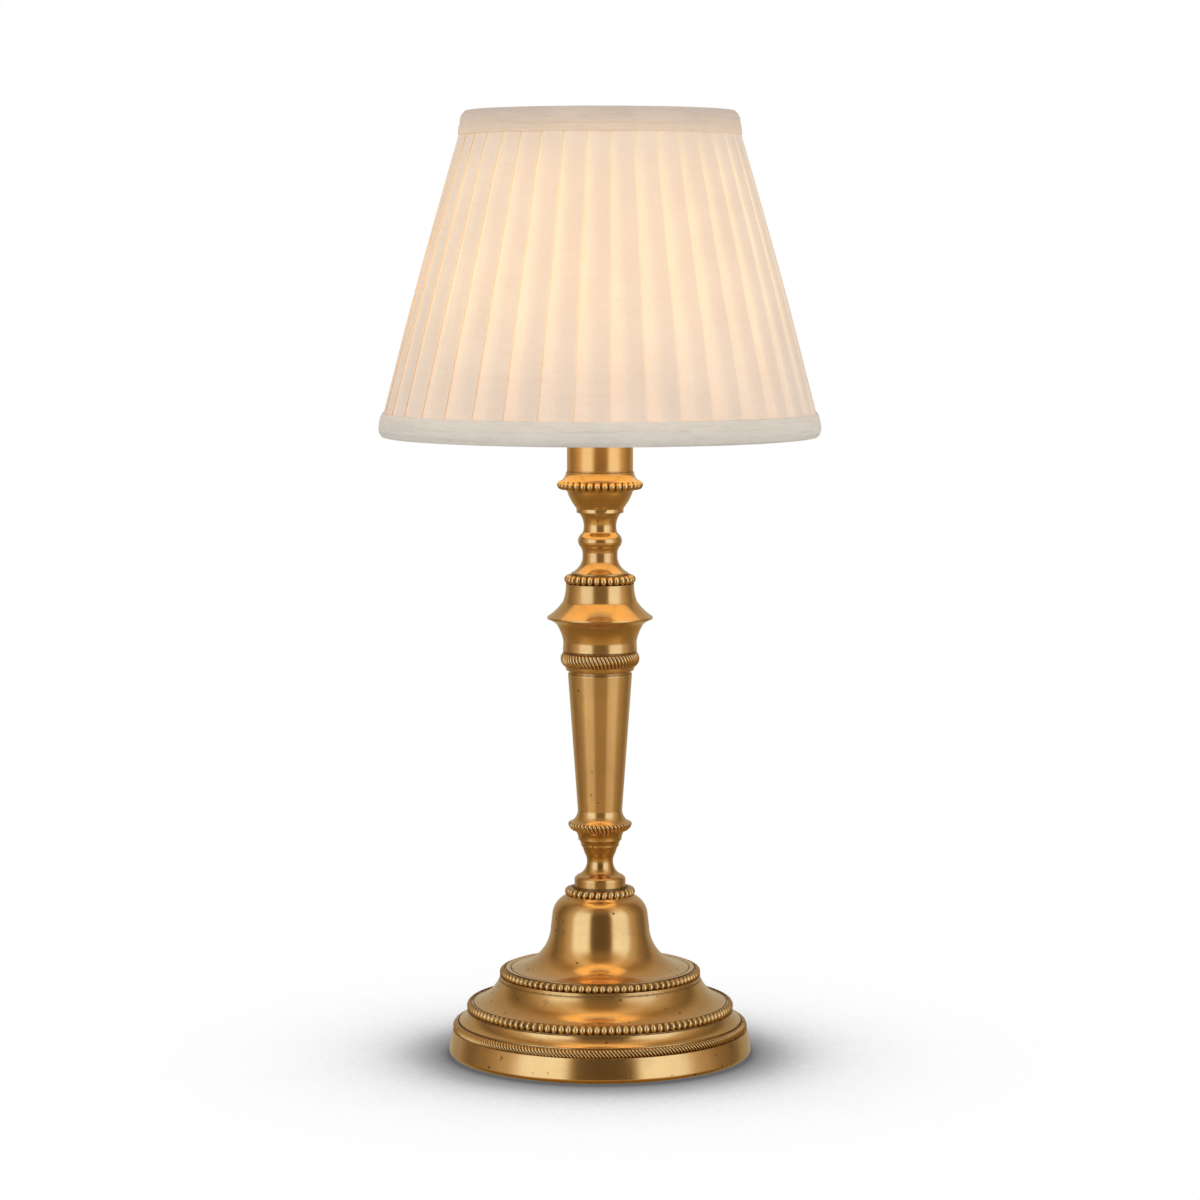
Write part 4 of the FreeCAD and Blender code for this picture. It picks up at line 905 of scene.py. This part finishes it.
def fold_path(radius, shade):
    """One pleat at one radius, from where it comes out under a fold to the next fold edge.

    Each point is (arc from the pleat's start, depth under the fold edges, share of the painted one-layer
    glow, which is graded to paint soft shade beside each fold).
    """
    pitch = 2 * math.pi * radius / shade.pleat_count
    under = min(shade.underlap, pitch * 0.95)
    strip = pitch - under
    gap = shade.layer_gap
    soft = min(strip * 0.6, 3 * MM)
    path = [(0.0, 2.05 * gap, 0.72), (strip * 0.12, 2 * gap, 0.92), (strip * 0.9 - soft, 2 * gap, 0.9)]
    path += [(strip - soft * (1 - t), gap * (2 - 2 * t * t * (3 - 2 * t)), 0.86 - 0.36 * t * t)
             for t in (k / 5 for k in range(6))]
    edge = min(0.9 * MM, under * 0.11)
    path += [(strip + edge * (k + 1), 0.0, lit) for k, lit in enumerate((0.38, 0.25, 0.15, 0.08))]
    path += [(strip + under * (0.6 + 0.18 * k), 0.0, 0.04) for k in range(3)]
    path += [(pitch + gap * 0.5 * math.sin(bend), gap * 0.5 * (1 - math.cos(bend)), 0.55)
             for bend in (math.pi * (k + 0.5) / 5 for k in range(5))]
    path += [(pitch - under * (0.1 + 0.4 * k), gap, 0.0) for k in range(3)]
    path += [(strip + gap * (1 - 0.5 * math.sin(bend)), gap * (1.5 - 0.5 * math.cos(bend)), 0.0)
             for bend in (math.pi * (k + 0.5) / 3 for k in range(3))]
    path += [(strip + under * 0.3, 2.02 * gap, 0.0), (strip + under * 0.75, 2.05 * gap, 0.3)]
    return [*path, (pitch, 2.05 * gap, 0.7)]


class LAMP_OT_pleated_cover(bpy.types.Operator):
    """Fold the cover's cloth into knife pleats round the lining"""
    bl_idname = "lamp.pleated_cover"
    bl_label = "Pleated cover"

    def execute(self, context):
        shade = settings("lamp_shade")
        low, high = heights("pleated_cover")
        edge_low, edge_high = heights("bottom_trim")[0], heights("top_trim")[1]
        places, single = [], []
        for row in range(COVER_BANDS + 1):
            height = low + (high - low) * row / COVER_BANDS
            rise = (height - edge_low) / (edge_high - edge_low)
            bow = shade.belly * math.sin(math.pi * row / COVER_BANDS)
            radius = shade.foot_radius + (shade.head_radius - shade.foot_radius) * rise + bow
            path = fold_path(radius, shade)
            begin = shade.first_fold + shade.lean * rise
            for arc, depth, lit in path:
                angle, out = begin + arc / radius, radius - depth
                places.append((out * math.sin(angle), -out * math.cos(angle), height))
                single.append(lit)
        finish = cover_finish()
        faces = grid_faces(COVER_BANDS + 1, len(path), rows_close=False)
        cover = mesh_piece("pleated_cloth_cover", places, faces, finish)
        mark(cover, "one_layer_glow", single)
        repeated(cover, {"Count": shade.pleat_count, "Finish": finish, "Stray Round": 1.6 * MM,
                         "Stray Out": 0.6 * MM, "Stray Scale": (70.0, 70.0, 9.0)})
        takes_over(cover, "pleated_cover")
        return {"FINISHED"}


class LAMP_OT_bindings(bpy.types.Operator):
    """Bind the shade's two edges with folded tape"""
    bl_idname = "lamp.bindings"
    bl_label = "Bindings"

    def execute(self, context):
        finish = binding_finish()
        for node in ("top_trim", "bottom_trim"):
            outline = eased(section_of(node), TAPE_EDGE)
            piece = lathe(f"{node}_tape", outline, finish, TAPE_SEGMENTS)
            middle = sum(p.x for p in outline) / len(outline)
            self.ruffle(piece, outline, middle)
            takes_over(piece, node)
        return {"FINISHED"}

    @staticmethod
    def ruffle(piece, outline, middle):
        """Lets the tape's outer face swell and crease a little round its edge."""
        for i, vertex in enumerate(piece.data.vertices):
            if outline[i // TAPE_SEGMENTS].x < middle - 2 * MM:
                continue
            point = vertex.co
            reach = math.hypot(point.x, point.y)
            creased = noise.noise(Vector((point.x * 38, point.y * 38, point.z * 260)))
            swell = creased * 0.22 * MM + noise.noise(point * 45) * 0.3 * MM
            vertex.co.x += point.x / reach * swell
            vertex.co.y += point.y / reach * swell
        piece.data.update()


# ---- fittings

# The finish of each material slot whose CAD pieces stay: the function that makes it, and what that takes.
FITTINGS = {
    "steel": (metal_finish, "zinc_steel", (0.60, 0.60, 0.59), (0.42, 0.41, 0.38), 0.32),
    "weight_iron": (metal_finish, "cast_iron", (0.12, 0.12, 0.12), (0.20, 0.12, 0.08), 0.6, 0.0, 0.6),
    "contact_brass": (metal_finish, "bright_contact", (0.83, 0.62, 0.28), (0.62, 0.40, 0.14), 0.22),
    "cap_metal": (metal_finish, "cap_tin", (0.74, 0.73, 0.70), (0.55, 0.53, 0.48), 0.25),
    "felt": (moulded_finish, "green_felt", (0.08, 0.14, 0.09), (0.14, 0.20, 0.14), 0.85, 2600, 0.3 * MM),
    "bushing_plastic": (moulded_finish, "brown_bushing", (0.035, 0.024, 0.018), (0.06, 0.045, 0.035), 0.35),
    "holder_plastic": (moulded_finish, "black_holder", (0.022, 0.020, 0.018), (0.045, 0.040, 0.036), 0.22,
                       700, 0.01 * MM, {"Coat Weight": 0.3}),
    "insulator_ceramic": (moulded_finish, "white_ceramic", (0.80, 0.77, 0.70), (0.66, 0.62, 0.54), 0.45,
                          1200),
    "frame_paint": (moulded_finish, "white_frame", (0.80, 0.78, 0.72), (0.70, 0.67, 0.60), 0.35, 800),
    "bulb_glass": (glowing_finish, "frosted_glass", (1.0, 0.93, 0.82), (0.98, 0.88, 0.74), 0.30,
                   (1.0, 0.80, 0.50), 0.72, 0.1),
    "stem_glass": (glowing_finish, "stem_glass", (0.95, 0.96, 0.93), (0.86, 0.88, 0.84), 0.08,
                   (1.0, 0.72, 0.4), 0.6, 0.8),
    "filament": (glowing_finish, "hot_filament", (0.9, 0.6, 0.3), (0.8, 0.5, 0.2), 0.4,
                 (1.0, 0.62, 0.25), 4.0),
    # The lining's emission is a painted glow for the bulb's light on it; the bulb's glass, stem and filament
    # glow as the lamp.
    "lining": (glowing_finish, "warm_lining", (0.88, 0.82, 0.70), (0.82, 0.75, 0.62), 0.55,
               (0.90, 0.64, 0.22), 0.54),
}


class LAMP_OT_fittings(bpy.types.Operator):
    """Give every CAD piece that stays its finish"""
    bl_idname = "lamp.fittings"
    bl_label = "Fittings"

    def execute(self, context):
        finishes = {slot: make(*values) for slot, (make, *values) in FITTINGS.items()}
        replaced = {node for piece in context.scene.objects for node in piece.get("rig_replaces", ())}
        for node, piece in NODES.items():
            if node not in replaced:
                piece.data.materials.clear()
                piece.data.materials.append(finishes[SLOTS[node]])
        return {"FINISHED"}


# ---- studio

FLOOR_REACH = 6.0
FLOOR_DROP = 0.1 * MM       # keeps the floor's face clear of the felt's
TENT_RADIUS = 4.0
PANEL_HEIGHT = 0.75
PANEL_AIM = 0.55            # height of the place that the panels face

# The floor's painted shadow: how bright the floor shows, by how open it lies.
FLOOR_TONES = ((0.60, 0.13), (0.76, 0.29), (0.87, 0.39), (0.92, 0.71), (0.95, 0.92), (0.975, 1.0))

# How bright the tent's painted reflection is level with the lamp, above it and below it. Each runs from
# behind the camera, 0, to behind the lamp, 1.
TENT_LEVEL = ((0.0, 0.115), (0.115, 0.125), (0.165, 0.98), (0.21, 1.0), (0.33, 1.0), (0.45, 0.55),
              (0.56, 0.30), (0.66, 0.18), (0.78, 0.42), (1.0, 0.50))
TENT_ABOVE = ((0.0, 0.27), (0.1, 0.28), (0.24, 0.70), (0.34, 0.78), (0.45, 0.60), (0.62, 0.34), (0.88, 0.50),
              (1.0, 0.56))
TENT_BELOW = ((0.0, 0.44), (0.1, 0.44), (0.2, 0.56), (0.32, 0.62), (0.46, 0.28), (0.6, 0.22), (0.8, 0.36),
              (1.0, 0.45))
# The colour that the tent has at each brightness.
TENT_TINTS = ((0.0, (0, 0, 0)), (0.12, (0.088, 0.070, 0.042)), (0.38, (0.27, 0.218, 0.125)),
              (0.70, (0.50, 0.465, 0.37)), (1.0, (0.80, 0.97, 1.12)))
TENT_SLIT = 2.5             # degrees to the right of the camera at which the dark slit's middle lies


def light_panel(name, place, towards, size, power):
    data = bpy.data.lights.new(name, "AREA")
    data.shape = "RECTANGLE"
    data.size, data.size_y = size
    data.energy = power
    panel = linked(name, data)
    panel.location = place
    panel.rotation_euler = (towards - place).to_track_quat("-Z", "Y").to_euler()
    # The brass doesn't mirror the panels; their reflections are painted in the tent.
    panel.visible_glossy = False


def paper_floor():
    """Pale paper, which the camera sees white where it lies open, with a painted shadow in shelter, and not
    from below.
    """
    material, tree, shader = new_material("pale_paper")
    fill(shader, {"Base Color": cloudy(object_place(tree), 40, 3, 0.5, 0.3, 0.7, 0.71, 0.73),
                  "Roughness": 0.9, "Specular IOR Level": 0.1})
    # Ambient occlusion gives the painted shadow that the camera sees round the lamp's foot.
    open_share = add(tree, "ShaderNodeAmbientOcclusion", {"Distance": 0.2, "Normal": (0.0, 0.33, 0.944)},
                     samples=24).outputs["AO"]
    shown = after("ShaderNodeEmission", {"Color": ramp(open_share, FLOOR_TONES, "LINEAR"), "Strength": 1.0})
    seen = add(tree, "ShaderNodeLightPath").outputs["Is Camera Ray"]
    above = after("ShaderNodeMixShader", [seen, shader.outputs[0], shown])
    from_below = add(tree, "ShaderNodeNewGeometry").outputs["Backfacing"]
    clear = add(tree, "ShaderNodeBsdfTransparent").outputs[0]
    surface = after("ShaderNodeMixShader", [from_below, above, clear])
    fill(tree.nodes["Material Output"], {"Surface": surface})
    return material


def tent_cloth():
    """Painted reflection by direction: a dark slit behind the camera between bright panels, and a dim back.
    """
    material, tree, shader = new_material("tent_cloth")
    way = vector_of("NORMALIZE", add(tree, "ShaderNodeTexCoord").outputs["Object"])
    x, y, z = after("ShaderNodeSeparateXYZ", [way]).node.outputs[:3]
    aside = math_of("ARCTAN2", x, times(y, -1.0))
    aside = math_of("ABSOLUTE", math_of("SUBTRACT", aside, math.radians(TENT_SLIT)))
    aside = math_of("DIVIDE", aside, math.pi)
    up = times(math_of("ARCSINE", z), 180 / math.pi)
    level = ramp(aside, TENT_LEVEL)
    for low, high, tone in ((28, 56, ramp(aside, TENT_ABOVE)), (62, 82, (0.85, 0.85, 0.85)),
                            (-1, -20, ramp(aside, TENT_BELOW)), (-28, -50, (0.22, 0.22, 0.22))):
        level = mixed(spread(up, low, high), level, tone)
    glow = ramp(level, TENT_TINTS, "LINEAR")
    for low, high, warm in ((40, 75, (1.0, 0.82, 0.55)), (-3, -42, (0.98, 0.76, 0.32))):
        glow = vector_of("MULTIPLY", glow, mixed(spread(up, low, high), (1, 1, 1), warm))
    glow = scaled(glow, cloudy(object_place(tree, (1, 1, 0.2)), 1.2, 2, 0.5, 0.3, 0.7, 0.96, 1.04))
    fill(shader, {"Base Color": (0, 0, 0), "Specular IOR Level": 0.0, "Emission Color": glow,
                  "Emission Strength": settings("lamp_studio").tent})
    material.cycles.emission_sampling = "NONE"
    return material


class LAMP_OT_studio(bpy.types.Operator):
    """Set up the floor, the painted reflection tent, the light panels, the sky and the camera"""
    bl_idname = "lamp.studio"
    bl_label = "Studio"

    def execute(self, context):
        studio = settings("lamp_studio")
        scene = context.scene
        places = [(x * FLOOR_REACH, y * FLOOR_REACH, -FLOOR_DROP) for y in (-1, 1) for x in (-1, 1)]
        floor = mesh_piece("paper_floor", places, [(0, 1, 3, 2)], paper_floor(), smooth=False)
        # The brass mirrors the tent's painted lower half, not this floor.
        floor.visible_glossy = False
        self.pitch_tent()
        for side, name in ((-1, "left_panel"), (1, "right_panel")):
            way = Vector((side * math.sin(studio.panel_angle), -math.cos(studio.panel_angle), 0))
            place = way * studio.panel_distance + Vector((0, 0, PANEL_HEIGHT))
            light_panel(name, place, Vector((0, 0, PANEL_AIM)), tuple(studio.panel_size), studio.panel_power)
        self.light_world(scene, studio)
        data = bpy.data.cameras.new("camera")
        data.lens = studio.lens
        data.sensor_width = 36
        data.sensor_fit = "AUTO"
        data.clip_end = 50
        camera = linked("camera", data)
        camera.location = studio.camera_place
        camera.rotation_euler = (math.pi / 2 - studio.camera_tilt, 0, 0)
        scene.camera = camera
        scene.view_settings.view_transform = "Standard"
        return {"FINISHED"}

    @staticmethod
    def pitch_tent():
        """A tent far out whose glow is a painted reflection, which only the shine of the brass sees."""
        mesh = bpy.data.meshes.new("glossy_only_tent")
        shape = bmesh.new()
        bmesh.ops.create_uvsphere(shape, u_segments=96, v_segments=48, radius=TENT_RADIUS)
        bmesh.ops.reverse_faces(shape, faces=shape.faces)
        shape.to_mesh(mesh)
        shape.free()
        mesh.materials.append(tent_cloth())
        mesh.shade_smooth()
        tent = linked("glossy_only_tent", mesh)
        for ray in ("camera", "diffuse", "transmission", "shadow"):
            setattr(tent, f"visible_{ray}", False)

    @staticmethod
    def light_world(scene, studio):
        """A white sky for the camera, mirrors and glass, and a dimmer one for all other light."""
        world = bpy.data.worlds.new("sky")
        world.use_nodes = True
        scene.world = world
        tree = world.node_tree
        seen = add(tree, "ShaderNodeLightPath").outputs
        shown = math_of("MAXIMUM", seen["Is Glossy Ray"], seen["Is Transmission Ray"])
        shown = math_of("MAXIMUM", seen["Is Camera Ray"], shown)
        fill(tree.nodes["Background"], {
            "Color": (1, 1, 1), "Strength": spread(shown, 0.0, 1.0, studio.sky, 1.0)})


# ---- add-on

class LAMP_PT_panel(bpy.types.Panel):
    """The lamp's steps and settings"""
    bl_idname = "LAMP_PT_panel"
    bl_label = "Candlestick lamp"
    bl_space_type = "VIEW_3D"
    bl_region_type = "UI"
    bl_category = "Lamp"

    def draw(self, context):
        for step in STEPS:
            self.layout.operator(step.bl_idname)
        for name in GROUPS:
            group = settings(name)
            box = self.layout.box()
            for field in group.bl_rna.properties:
                if not field.is_readonly and field.identifier != "name":
                    box.prop(group, field.identifier)


GROUPS = {"lamp_brass": BrassSettings, "lamp_shade": ShadeSettings, "lamp_studio": StudioSettings}
STEPS = (LAMP_OT_turned_brass, LAMP_OT_ornament_rows, LAMP_OT_pleated_cover, LAMP_OT_bindings,
         LAMP_OT_fittings, LAMP_OT_studio)


def register():
    for kind in (*GROUPS.values(), *STEPS, LAMP_PT_panel):
        bpy.utils.register_class(kind)
    for name, kind in GROUPS.items():
        setattr(bpy.types.Scene, name, PointerProperty(type=kind))


def unregister():
    for name in GROUPS:
        delattr(bpy.types.Scene, name)
    for kind in reversed((*GROUPS.values(), *STEPS, LAMP_PT_panel)):
        bpy.utils.unregister_class(kind)


def main():
    register()
    for step in STEPS:
        area, call = step.bl_idname.split(".")
        getattr(getattr(bpy.ops, area), call)()


if __name__ == "__main__":
    main()
